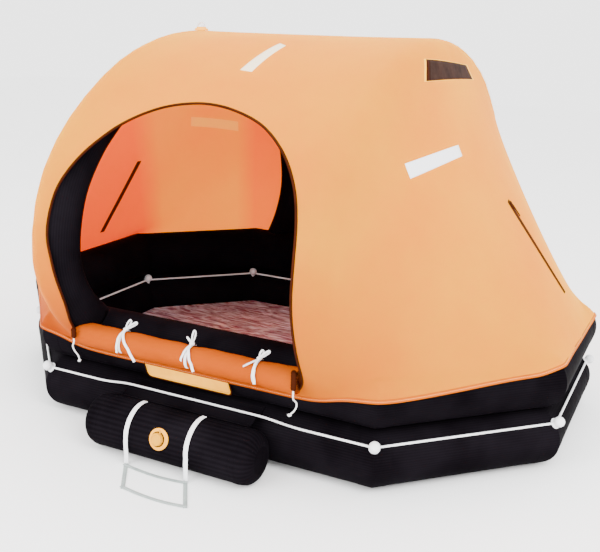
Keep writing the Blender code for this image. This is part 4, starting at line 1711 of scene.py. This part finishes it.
@dataclass
class DoorRoll:
    """The entrance flap, rolled down on the tube's shoulder and tied with three ribbons."""

    radius: float = 0.0418
    core: float = 0.014
    turns: float = 5.2
    thickness: float = 0.0012
    ends: tuple = (-0.452, 0.392)
    lean: float = 0.246
    solid_radius: float = 0.042
    pressed: float = 0.004
    seat_angle: float = 159.0
    ties: tuple = (-0.25, 0.01, 0.255)
    tie_depth: float = 0.085
    tie_width: float = 0.028
    # Each tie's two tails as (lean along x, fall), and its two ears as (lean along x, rise).
    tails: tuple = (
        ((-0.006, 0.064), (0.066, 0.082)), ((-0.014, 0.042), (0.034, 0.068)), ((0.008, 0.062), (-0.036, 0.016)))
    ears: tuple = (
        ((0.046, 0.034), (0.022, 0.038)), ((0.012, 0.048), (-0.016, 0.02)), ((0.034, 0.032), (0.012, 0.03)))
    knot_angle: float = 86.0
    ribbon: float = 0.0009
    band_width: float = 0.0105
    tail_width: float = 0.0084
    ear_width: float = 0.006

    def __post_init__(self) -> None:
        """Find the roll's axis against the upper tube."""
        reach = SIZES.tube + self.solid_radius - self.pressed
        self.y, self.z = on_circle((-SIZES.half_width, SIZES.upper_z), reach, self.seat_angle)

    def toggle_y(self, radius: float) -> float:
        """Where toggles of that radius stand in front of the roll."""
        return self.y - (self.solid_radius + 0.0004 + radius * cos(pi / 12))

    def over(self, x: float, lift: float, degrees: float) -> tuple:
        """A place over the roll's skin.

        Args:
            x: where it is along the roll.
            lift: how far it stands off the skin.
            degrees: where it is round the roll.

        Returns:
            The place, and its direction out from the roll's axis.
        """
        y, z = on_circle((self.y, self.z), self.radius * self.pinch(x) + lift, degrees)
        return (x, y, z), (0.0, *on_circle((0.0, 0.0), 1.0, degrees))

    def pinch(self, x: float) -> float:
        """How much the ties draw the roll in at that x."""
        return 1.0 - self.tie_depth * sum(exp(-((x - tie) / self.tie_width) ** 2) for tie in self.ties)

    def section(self, x: float) -> list:
        """One section of the rolled cloth, with its creases, which the ties smooth out.

        Args:
            x: where it is along the roll.

        Returns:
            (y, z) pairs out along the cloth's outer face and back along its inner one.
        """
        steps = int(self.turns * 30)
        outer, inner = [], []
        loose = 2.2 - 1.2 * max(exp(-((x - tie) / 0.075) ** 2) for tie in self.ties)
        for step in range(steps + 1):
            share = step / steps
            angle = 2 * pi * self.turns * (1 - share) + radians(212)
            reach = self.radius - (self.radius - self.core) * share
            wave = noise.noise(Vector((x * 9.0, cos(angle) * 1.3, sin(angle) * 1.3)))
            crease = noise.noise(Vector((x * 30.0, cos(angle) * 2.6, sin(angle) * 2.6 + 5.0)))
            reach = (reach + loose * (0.0016 * wave + 0.0008 * crease)) * self.pinch(x)
            for face, size in ((outer, reach), (inner, reach - self.thickness)):
                face.append((size * cos(angle), size * sin(angle)))
        return outer + inner[::-1]

    def build(self) -> None:
        """Make the roll and its ties."""
        left, right = self.ends
        rings = []
        for x in np.linspace(left, right, 110):
            ring = np.array([(x, self.y + y, self.z + z) for y, z in self.section(x)])
            share = (x - left) / (right - left)
            ring[:, 0] += self.lean * (ring[:, 2] - 0.305) * max(0.0, 1.0 - 4.0 * share)
            ring[:, 0] += 0.002 * sin(37.0 * x) * (share - 0.5)
            rings.append(ring)
        roll = Surface(self.seated(np.array(rings)))
        # The roll's cloth carries painted shade.
        made = roll.worn("rolled_door", SHADED_CLOTH, 60.0, "orange_cloth", "door_roll")
        ties = [self.tie(number) for number in range(len(self.ties))]

    @staticmethod
    def seated(rings: ndarray) -> ndarray:
        """The roll pressed flat where it meets the tube and the hoops.

        Args:
            rings: the roll's sections.

        Returns:
            The pressed sections.
        """
        flat = rings.reshape(-1, 3)
        gap = flat - np.array([0.0, -SIZES.half_width, SIZES.upper_z])
        gap[:, 0] = 0.0
        shove(flat, gap, SIZES.tube + 0.001)
        line = SIZES.hoop_line(10)
        for x in (-SIZES.hoop_x, SIZES.hoop_x):
            near = np.flatnonzero(np.abs(flat[:, 0] - x) < SIZES.hoop + 0.002)
            part = flat[near]
            shove(part, np.column_stack([part[:, 0] - x, from_line(part, line)]), SIZES.hoop + 0.0012)
            flat[near] = part
        return flat.reshape(rings.shape)

    def band(self, x: float) -> ndarray:
        """A ribbon laid over the roll.

        Args:
            x: where its tie stands.

        Returns:
            Rings of points.
        """
        degrees = [(float(angle),) for angle in range(58, 232, 12)]
        laid = [self.over(x, 0.0012, angle) for angle, in evenly(smooth_line(degrees, 6), 6 * len(degrees))]
        path, out = (np.array(rows) for rows in zip(*laid))
        return free_rings(path, strap_section(self.band_width, self.ribbon), out)

    def tail(self, x: float, side: float, fall: float) -> ndarray:
        """A ribbon tail from the knot over the roll's front and straight down.

        Args:
            x: where its tie stands.
            side: how far it leans along x.
            fall: how far its end hangs below the knot.

        Returns:
            Rings of points.
        """
        reach = self.radius * self.pinch(x) + 0.0022
        top = reach * sin(radians(self.knot_angle))
        points = []
        for share in np.linspace(0.0, 1.0, 14):
            height = top - share * fall
            sway = 0.0022 * sin(7.0 * share + 40.0 * side)
            depth = sqrt(max(reach ** 2 - height ** 2, 0.0)) if height > 0.0 else reach
            points.append((x + side * share ** 0.8, self.y - depth - 0.0014 - abs(sway),
                           self.z + height + 0.003 * (1.0 - share)))
        line = evenly(smooth_line(points, 4), 40)
        return free_rings(line, strap_section(self.tail_width, self.ribbon), carried_out(line, (0.0, -0.3, 1.0)))

    def ear(self, x: float, side: float, rise: float) -> ndarray:
        """A flattened ribbon loop that stands up from the knot.

        Args:
            x: where its tie stands.
            side: how far its tip is along x.
            rise: how far its tip is above the knot.

        Returns:
            Rings of points.
        """
        (x, y, z), _ = self.over(x, 0.006, self.knot_angle)
        wide = 0.003 if side >= 0.0 else -0.003
        points = [
            (0.0, 0.0, 0.0), (0.45 * side - wide, -0.003, 0.5 * rise),
            (0.85 * side - 0.8 * wide, -0.004, 0.86 * rise), (side, -0.003, rise),
            (0.95 * side + 0.8 * wide, 0.000, 0.84 * rise), (0.5 * side + wide, 0.001, 0.44 * rise),
            (0.0, 0.0, 0.0),
        ]
        line = evenly(smooth_line([(x + a, y + b, z + c) for a, b, c in points], 6), 44)
        return free_rings(line, strap_section(self.ear_width, self.ribbon), (0.0, -1.0, 0.25))

    def tie(self, number: int) -> Object:
        """One ribbon tie: the band, the knot, two ears and two tails.

        Args:
            number: which tie, counted from the left.

        Returns:
            The piece.
        """
        x = self.ties[number]
        surface = Surface(self.band(x))
        for side, fall in self.tails[number]:
            surface.grid(self.tail(x, side, fall))
        for side, rise in self.ears[number]:
            surface.grid(self.ear(x, side, rise))
        knot = [(0.0, -0.0055), (0.0062, -0.0045), (0.0085, -0.0015), (0.0088, 0.0015), (0.0068, 0.0042),
                (0.0, 0.0052)]
        surface.turned(knot, 20, axis_place(*self.over(x, 0.0065, self.knot_angle)))
        return surface.worn(f"ribbon_tie_{number + 1}", RIBBON, 50.0, "white_webbing", f"door_tie_{number + 1}")


@dataclass
class PullCord:
    """A toggle at a lower corner of the entrance with its free cord."""

    side: str
    x: float
    z: float
    length: float
    route: tuple
    radius: float = 0.0025
    toggle_radius: float = 0.009
    knot_radius: float = 0.0034
    knot_half: float = 0.005

    def toggle(self, y: float) -> None:
        """The moulded toggle with its grip rings.

        Args:
            y: where its axis stands.
        """
        half, r = self.length / 2, self.toggle_radius
        neck = 0.93 * r
        profile = [(0.0, -half), (0.6 * r, -half + 0.0006), (neck, -half + 0.004)]
        rings = max(3, int(self.length / 0.01))
        for ring in range(rings):
            middle = -half + 0.008 + (self.length - 0.016) * ring / (rings - 1)
            profile += [(neck, middle - 0.0022), (r, middle - 0.0012), (r, middle + 0.0012), (neck, middle + 0.0022)]
        profile += [(neck, half - 0.004), (0.6 * r, half - 0.0006), (0.0, half)]
        surface = Surface()
        surface.turned(profile, 28, Matrix.Translation((self.x, y, self.z)))
        surface.worn(f"toggle_body_{self.side}", BROWN, 40.0, "brown_zip", f"toggle_{self.side}")

    def knot(self, line: ndarray, out: ndarray) -> Object:
        """The knot in the cord's free end.

        Args:
            line: the cord's centreline.
            out: a direction at right angles to its end.

        Returns:
            The piece.
        """
        turn = np.linspace(0.0, 4.4 * pi, 60)
        run = unit(line[-1] - line[-2])
        beside = np.cross(run, out)
        coil = (line[-1] - run * 0.004 + np.outer(np.cos(turn) * self.knot_radius, out)
                + np.outer(np.sin(turn) * self.knot_radius, beside)
                + np.outer(np.linspace(-self.knot_half, self.knot_half, 60) * np.cos(0.7 * turn), run))
        rings = free_rings(coil, circle(self.radius, 10), carried_out(coil, tuple(run)))
        return Surface(rings).worn(f"cord_knot_{self.side}", ROPE, 60.0, "white_rope")

    def build(self, y: float) -> None:
        """Make the toggle and its cord.

        Args:
            y: the toggle's y.
        """
        self.toggle(y)
        line = smooth_line(list(self.route), 4)
        out = carried_out(line, (1.0, 0.0, 0.0))
        made = Surface(free_rings(line, circle(self.radius, 12), out)).worn(
            f"cord_{self.side}", ROPE, 60.0, "white_rope", f"pull_cord_{self.side}")
        self.knot(line, out[-1])


PULL_CORDS = (
    PullCord("left", -0.425, 0.366, 0.036, (
        (-0.425, -0.862, 0.3472), (-0.425, -0.862, 0.335), (-0.436, -0.856, 0.315),
        (-0.441, -0.842, 0.293), (-0.437, -0.829, 0.27), (-0.44, -0.821, 0.248),
    )),
    PullCord("right", 0.4, 0.372, 0.064, (
        (0.4, -0.862, 0.3392), (0.4, -0.862, 0.326), (0.388, -0.836, 0.3), (0.386, -0.809, 0.276),
        (0.378, -0.794, 0.253), (0.366, -0.789, 0.234), (0.35, -0.7885, 0.217),
    )),
)


# --- Floor and lifelines ---

@dataclass
class Floor:
    """The floor sheet, and the crinkled insulating mat on it."""

    sheet_thickness: float = 0.004
    sheet_inset: float = 0.03
    mat_inset: float = 0.0975
    mat_low: float = 0.0044
    mat_top: float = 0.066
    mat_filling: float = 0.35

    def sheet(self) -> None:
        """The coated sheet welded under the lower tube."""
        outline = SIZES.octagon(-self.sheet_inset, 0.0)
        levels = [shrunk(outline, share, 0.0) for share in np.linspace(0.02, 1.0, 14)]
        levels += [shrunk(outline, share, self.sheet_thickness) for share in (1.0, *np.linspace(0.98, 0.02, 14))]
        made = Surface(np.array(levels)).worn("floor_cloth", BLACK, 40.0, "black_rubber", "floor_sheet")

    def mat(self) -> None:
        """The padded mat with its creased top."""
        outline = ringed(SIZES.octagon(-self.mat_inset, 0.0), 240)
        rings = [shrunk(outline, 1 - inset, height) for inset, height in (
            (0.0, self.mat_low), (0.0, self.mat_low + 0.01), (0.0, self.mat_top - 0.02),
            (0.004, self.mat_top - 0.01), (0.012, self.mat_top - 0.003))]
        for share in np.linspace(0.975, 0.01, 90):
            ring = shrunk(outline, share, 0.0)
            for point in ring:
                broad = noise.noise(Vector((point[0] * 7.0, point[1] * 13.0, 1.0)))
                crease = abs(noise.noise(Vector((point[0] * 16.0, point[1] * 34.0, 7.0))))
                point[2] = self.mat_top - 0.004 + 0.004 * broad - 0.006 * crease
            rings.append(ring)
        made = Surface(np.array(rings)).worn("crinkled_mat", FOIL, 60.0, "pink_floor", "floor_mat")

    def build(self) -> None:
        """Make the sheet and the mat."""
        self.sheet()
        self.mat()


@dataclass
class Lifeline:
    """A laid rope round the lower tube, held by a moulded knob at each corner."""

    node: str
    angle: float
    side: int
    over: tuple = ()
    reach: float = 0.10533
    knob: float = 0.0175
    radius: float = 0.005
    turns: float = 34.0
    step: float = 0.0035

    def build(self) -> None:
        """Make the rope, its knobs and their pads."""
        rise = radians(self.angle)
        flat, up = self.side * cos(rise), sin(rise)
        line = SIZES.octagon(self.reach * flat, SIZES.lower_z + self.reach * up)
        if self.over:
            line = np.vstack([line[:7], np.array(self.over), line[7:]])
        rope = rope_recipe(self.radius, self.turns, self.step).make(self.node + "_rope", [line], ROPE, closed=True)
        dressed(rope, "white_rope", self.node)
        reach, r = SIZES.tube + self.knob, self.knob
        ball = [(0.0, r)] + [(r * cos(t), r * sin(t)) for t in np.radians(range(75, -50, -12))]
        ball += [(0.74 * r, -0.8 * r), (0.74 * r, -0.92 * r), (1.00 * r, -0.98 * r), (1.02 * r, -1.12 * r)]
        pad = [(0.0, -1.05 * r), (0.98 * r, -1.05 * r), (1.1 * r, -1.15 * r), (1.15 * r, -1.7 * r)]
        knobs, pads = Surface(), Surface()
        for corner, middle in zip(SIZES.octagon(reach * flat, SIZES.lower_z + reach * up),
                                  SIZES.octagon(0.0, SIZES.lower_z)):
            place = axis_place(tuple(corner), tuple(corner - middle))
            knobs.turned(ball, 28, place)
            pads.turned(pad, 28, place)
        knobs.worn(self.node + "_knobs", KNOB, 40.0, "white_rope")
        pads.worn(self.node + "_pads", BLACK, 40.0, "black_rubber")


OVER_HINGE = (
    (-0.4, -0.7626, 0.167), (-0.37, -0.764, 0.1692), (-0.34, -0.7672, 0.1735), (-0.31, -0.771, 0.179),
    (-0.28, -0.7742, 0.1832), (-0.25, -0.7755, 0.1848),
    (0.23, -0.7755, 0.1848), (0.26, -0.7742, 0.1832), (0.29, -0.771, 0.179), (0.32, -0.7672, 0.1735),
    (0.35, -0.764, 0.1692), (0.38, -0.7626, 0.167),
)


# --- Boarding gear ---

@dataclass
class BoardingFloat:
    """The boarding float on its fabric hinge, with its valve and webbing straps."""

    straps: tuple = (("left", -0.145), ("right", 0.083))
    strap_reach: float = 0.090159
    strap_width: float = 0.016
    strap_thickness: float = 0.0021
    strap_foot: float = 0.0033
    seam_half: float = 0.006
    hinge_y: float = -0.7812
    hinge_z: float = 0.178
    hinge_play: float = 0.0015
    web: float = 0.0025
    web_half: float = 0.25
    web_lift: float = 0.0012
    valve_x: float = -0.02
    valve_angle: float = 161.0
    valve_scale: float = 1.16
    cap_round: float = 0.045
    seam_rise: float = 0.0008
    pucker: float = 0.0007
    centre: tuple = (SIZES.float_y, SIZES.float_radius)

    def skin_radius(self, x: float, angle: float) -> float:
        """How far the skin stands from the axis: full in the middle, puckered at the end caps.

        Args:
            x: distance from the float's middle.
            angle: where it is round the float.

        Returns:
            The radius there.
        """
        edge = SIZES.float_half - self.cap_round
        past = max(abs(x) - edge, 0.0) / self.cap_round
        body = SIZES.float_radius - self.cap_round + self.cap_round * sqrt(max(1.0 - past * past, 0.0))
        if abs(abs(x) - edge + 0.012) < 0.008:
            body += self.seam_rise
        gathers = exp(-((abs(x) - edge) / 0.03) ** 2) * cos(14 * angle + copysign(0.7, x))
        return body - self.seam_rise + self.pucker * gathers

    def body(self) -> None:
        """The inflated float with taped end caps."""
        edge = SIZES.float_half - self.cap_round
        half = [-edge - self.cap_round * cos(t) for t in np.radians(np.linspace(2, 86, 15))]
        half += [-edge + step for step in (0.0035, 0.0041, 0.012, 0.0199, 0.0205)]
        y, z = self.centre
        rings = []
        for x in half + list(np.linspace(-edge + 0.04, edge - 0.04, 24)) + [-x for x in reversed(half)]:
            ring = []
            for angle in 2 * np.pi * np.arange(72) / 72:
                reach = self.skin_radius(x, angle)
                ring.append((SIZES.float_x + x, y + reach * cos(angle), z + reach * sin(angle)))
            rings.append(ring)
        made = Surface(np.array(rings)).piece("boarding_float_skin", BLACK, 30.0)
        dressed(made, "black_rubber", "boarding_float", body=Body.FLOAT)

    def hinge(self) -> None:
        """The two glued webs that meet on the hinge line, with their stitching."""
        lift = self.web_lift + self.web / 2
        runs = (
            ("tube", Body.RAFT, (-SIZES.half_width, SIZES.lower_z), SIZES.tube, (114, 125), self.hinge_play),
            ("float", Body.FLOAT, self.centre, SIZES.float_radius, (66, 55), -self.hinge_play),
        )
        for name, body, centre, radius, (start, stop), play in runs:
            run = [on_circle(centre, radius + lift, degrees) for degrees in np.linspace(start, stop, 5)]
            path = across_run(run + [(self.hinge_y + play, self.hinge_z)], SIZES.float_x)
            web = Surface(flat_rings(path, (1, 0, 0), strap_section(2 * self.web_half, self.web), closed=False))
            web.worn(f"hinge_fabric_{name}", BLACK, 50.0, "black_rubber", f"hinge_web_{name}", body=body)
            y, z = on_circle(centre, radius + lift + self.web / 2 + 0.0003, 0.6 * start + 0.4 * stop)
            seam = self.web_half - 0.01
            row = np.array([(SIZES.float_x - seam, y, z), (SIZES.float_x + seam, y, z)])
            ItemRow(0.007, 0.0046, 0.001, 0.0008).sewn(
                f"hinge_stitching_{name}", [row], SEAM_BLACK, "black_rubber",
                [[(0.0, y - centre[0], z - centre[1])] * 2], body=body)

    def valve(self) -> None:
        """The inflation valve: a welded flange, a gasket and a ribbed cap on a keeper."""
        y, z = on_circle(self.centre, SIZES.float_radius - 0.0003, self.valve_angle)
        out = (0.0, *on_circle((0.0, 0.0), 1.0, self.valve_angle))
        place = axis_place((self.valve_x, y, z), out) @ Matrix.Scale(self.valve_scale, 4)
        normal = tuple(place.to_3x3() @ Vector((0.0, 0.0, 1.0)))
        flange = Surface()
        flange.turned([(0.0, 0.0), (0.03, 0.0), (0.0303, 0.0022), (0.029, 0.004), (0.0265, 0.0043),
                       (0.0255, 0.0062), (0.0215, 0.0066), (0.0205, 0.0054), (0.0, 0.0054)], 56, place)
        flange.worn("valve_flange", CREAM, 40.0, "cream_plastic", "float_valve", body=Body.FLOAT)
        turns = np.linspace(0.0, 2.0 * pi, 57)[:-1]
        seat = placed(place, [(0.0196 * cos(t), 0.0196 * sin(t), 0.0066) for t in turns])
        gasket = Surface(flat_rings(seat, normal, circle(0.0016, 10), closed=True), loop_path=True)
        gasket.worn("valve_gasket", PATCH, 60.0, "cream_plastic", body=Body.FLOAT)
        rings = []
        for radius, height in ((0.0145, 0.005), (0.017, 0.0056), (0.0172, 0.015), (0.016, 0.0176),
                               (0.0125, 0.0188), (0.0115, 0.0172), (0.0005, 0.0172)):
            grip = 0.0006 if 0.005 < height < 0.016 and radius > 0.016 else 0.0
            ring = []
            for step in range(96):
                turn = 2 * pi * step / 96
                reach = radius + grip * max(cos(24 * turn), -0.2)
                ring.append((reach * cos(turn), reach * sin(turn), height))
            rings.append(placed(place, ring))
        cap = Surface(np.array(rings))
        keeper = placed(place, smooth_line([
            (0.0, 0.0245, 0.0068), (0.004, 0.0225, 0.0095), (0.006, 0.0185, 0.01), (0.004, 0.016, 0.0085)], 5))
        cap.grid(free_rings(keeper, strap_section(0.005, 0.0012), normal))
        cap.worn("valve_cap", VALVE, 40.0, "cream_plastic", body=Body.FLOAT)

    def strap(self, side: str, x: float) -> None:
        """One webbing strap over the float and down to the ladder, stitched at its top end.

        Args:
            side: which strap.
            x: where it lies.
        """
        run = [on_circle(self.centre, self.strap_reach, degrees) for degrees in range(76, 181, 4)]
        top_y, top_z = run[-1]
        for share in np.linspace(0.12, 1.0, 9):
            sway = 0.0014 * sin(share * pi * 2.0 + x * 20)
            run.append((top_y * (1 - share) + SIZES.strap_y * share + sway * (1 - share),
                        top_z * (1 - share) + self.strap_foot * share))
        section = strap_section(self.strap_width, self.strap_thickness)
        made = Surface(flat_rings(across_run(run, x), (1, 0, 0), section, closed=False)).piece(
            f"boarding_strap_{side}", WEBBING, 50.0)
        dressed(made, "white_webbing", f"ladder_strap_{side}", body=Body.FLOAT)
        sides = (x - self.seam_half, x + self.seam_half)
        lines = [[(across, degrees) for degrees in range(77, 100, 4)] for across in sides]
        lines += [[(across, degrees) for across in sides] for degrees in (78, 98)]
        rows = [np.array([(across, *on_circle(self.centre, self.strap_reach + 0.0011, degrees))
                          for across, degrees in line]) for line in lines]
        ups = [row * (0.0, 1.0, 1.0) - (0.0, *self.centre) for row in rows]
        WEB_THREAD.sewn(f"strap_stitching_{side}", rows, GREY, "white_webbing", ups, body=Body.FLOAT)

    def build(self) -> None:
        """Make the float and what it carries."""
        self.body()
        self.hinge()
        self.valve()
        for side, x in self.straps:
            self.strap(side, x)


@dataclass
class BoardingLadder:
    """The webbing ladder, lying on the floor in front of the float."""

    near: float = -0.960959
    reach: float = 0.128
    skew: float = 0.085
    width: float = 0.013
    bow: float = 0.013
    stitch_half: float = 0.005
    sides: tuple = (-0.145, 0.083)

    def at(self, x: float, y: float, z: float) -> tuple:
        """A point of the skewed ladder, x being where its side strap starts."""
        return x + self.skew * (self.near - y) / self.reach, y, z

    def build(self) -> None:
        """Make the side straps, the rungs and their stitching."""
        far, half, edge = self.near - self.reach, self.width / 2, self.stitch_half
        left, right = self.sides
        up = (0.0, 0.0, 1.0)
        surface = Surface()
        for x in self.sides:
            path = [self.at(x, y, 0.0013 + 0.0002 * sin(60 * y)) for y in np.linspace(self.near, far, 24)]
            surface.grid(free_rings(np.array(path), strap_section(self.width, 0.002), up))
        lines = []
        for y in (self.near - half, far + half):
            path = []
            for share, x in zip(np.linspace(0.0, 1.0, 30), np.linspace(left - half, right + half, 30)):
                sag = sin(pi * share)
                path.append(self.at(x, y - self.bow * sag ** 0.8, 0.0031 - 0.0009 * sag ** 2))
            surface.grid(free_rings(np.array(path), strap_section(self.width - 0.001, 0.0022), up))
            for x in self.sides:
                corners = [(-edge, -edge), (edge, -edge), (edge, edge), (-edge, edge), (-edge, -edge), (edge, edge)]
                lines.append(np.array([self.at(x + dx, y + dy, 0.0043) for dx, dy in corners]))
        # The ladder's webbing carries painted shade.
        surface.worn("webbing_ladder", SHADED_LADDER_WEB, 50.0, "white_webbing", "ladder", body=Body.LADDER)
        WEB_THREAD.sewn("ladder_stitching", lines, GREY, "white_webbing", body=Body.LADDER)


@dataclass
class BoardingTab:
    """The blank tab that hangs from the hem under the entrance."""

    left: float = -0.19
    right: float = 0.14
    top: float = 0.2856
    drop: float = 0.052
    back: float = -0.7814
    corner: float = 0.014
    lean: float = 0.018
    thickness: float = 0.003

    def outline(self, inset: float, y: float) -> ndarray:
        """The tab's outline.

        Args:
            inset: how much smaller than the tab it is.
            y: the plane that it lies in.

        Returns:
            Its corners.
        """
        left, right = self.left + inset, self.right - inset
        top, low = self.top - inset, self.top - self.drop + inset
        corner = self.corner - 0.4 * inset
        ease = 0.3 * corner
        points = [(left, top), (right, top), (right, low + corner), (right - ease, low + ease), (right - corner, low),
                  (left + corner, low), (left + ease, low + ease), (left, low + corner)]
        return np.array([(x + self.lean * ((self.top - z) / self.drop - 0.5), y, z) for x, z in points])

    def build(self) -> None:
        """Make the tab, its bound edge and its stitches."""
        face = plate(self.outline(0.002, self.back), (0.0, -self.thickness, 0.0))
        face.worn("boarding_tab", CREAM, 50.0, "cream_plastic", "boarding_sign")
        edge = self.outline(0.0022, self.back - 0.6 * self.thickness)
        rim = Surface(flat_rings(edge, (0.0, 1.0, 0.0), circle(0.0026, 10), closed=True), loop_path=True)
        rim.worn("boarding_tab_rim", BROWN, 50.0, "brown_zip")
        row = self.outline(0.0085, self.back - self.thickness - 0.0001)
        ItemRow(0.005, 0.0034, 0.0009, 0.0008).sewn(
            "boarding_tab_stitching", [row], BROWN, "cream_plastic", [[(0.0, -1.0, 0.0)] * len(row)],
            closed=True)


@dataclass
class Lamp:
    """The small lamp on top of the left hoop."""

    place: tuple = (-0.469, 0.0, 1.3466)
    lens_radius: float = 0.0166
    lens_rise: float = 0.018

    def build(self) -> None:
        """Make the base and the lens."""
        frame = Matrix.Translation(self.place)
        base, lens = Surface(), Surface()
        base.turned([(0.0, 0.0), (0.0262, 0.0), (0.0268, 0.0016), (0.0262, 0.005), (0.0236, 0.0078),
                     (0.019, 0.0092), (0.0184, 0.0132), (0.0, 0.0132)], 48, frame)
        base.worn("lamp_base", CREAM, 40.0, "clear_lamp", "canopy_light")
        dome = [(self.lens_radius * cos(t), 0.015 + self.lens_rise * sin(t))
                for t in np.radians(range(0, 90, 10))]
        lens.turned([(0.0, 0.0134), (self.lens_radius, 0.0134), *dome, (0.0, 0.033)], 48, frame)
        lens.worn("lamp_lens", LENS, 40.0, "clear_lamp")


def main() -> None:
    """Build the raft's looks in order."""
    logging.basicConfig(level=logging.INFO, format="%(name)s %(message)s")
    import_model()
    Studio().build()
    TubeRing("lower_tube", SIZES.lower_z).build()
    TubeRing("upper_tube", SIZES.upper_z).build()
    Hoop("left", -SIZES.hoop_x).build()
    Hoop("right", SIZES.hoop_x).build()
    CanopyTrim(Canopy().build()).build()
    roll = DoorRoll()
    roll.build()
    for cord in PULL_CORDS:
        cord.build(roll.toggle_y(cord.toggle_radius))
    Floor().build()
    Lifeline("lifeline_outer", 39.5, 1, OVER_HINGE).build()
    Lifeline("lifeline_inner", 57.0, -1).build()
    BoardingFloat().build()
    BoardingLadder().build()
    BoardingTab().build()
    Lamp().build()


if __name__ == "__main__":
    main()
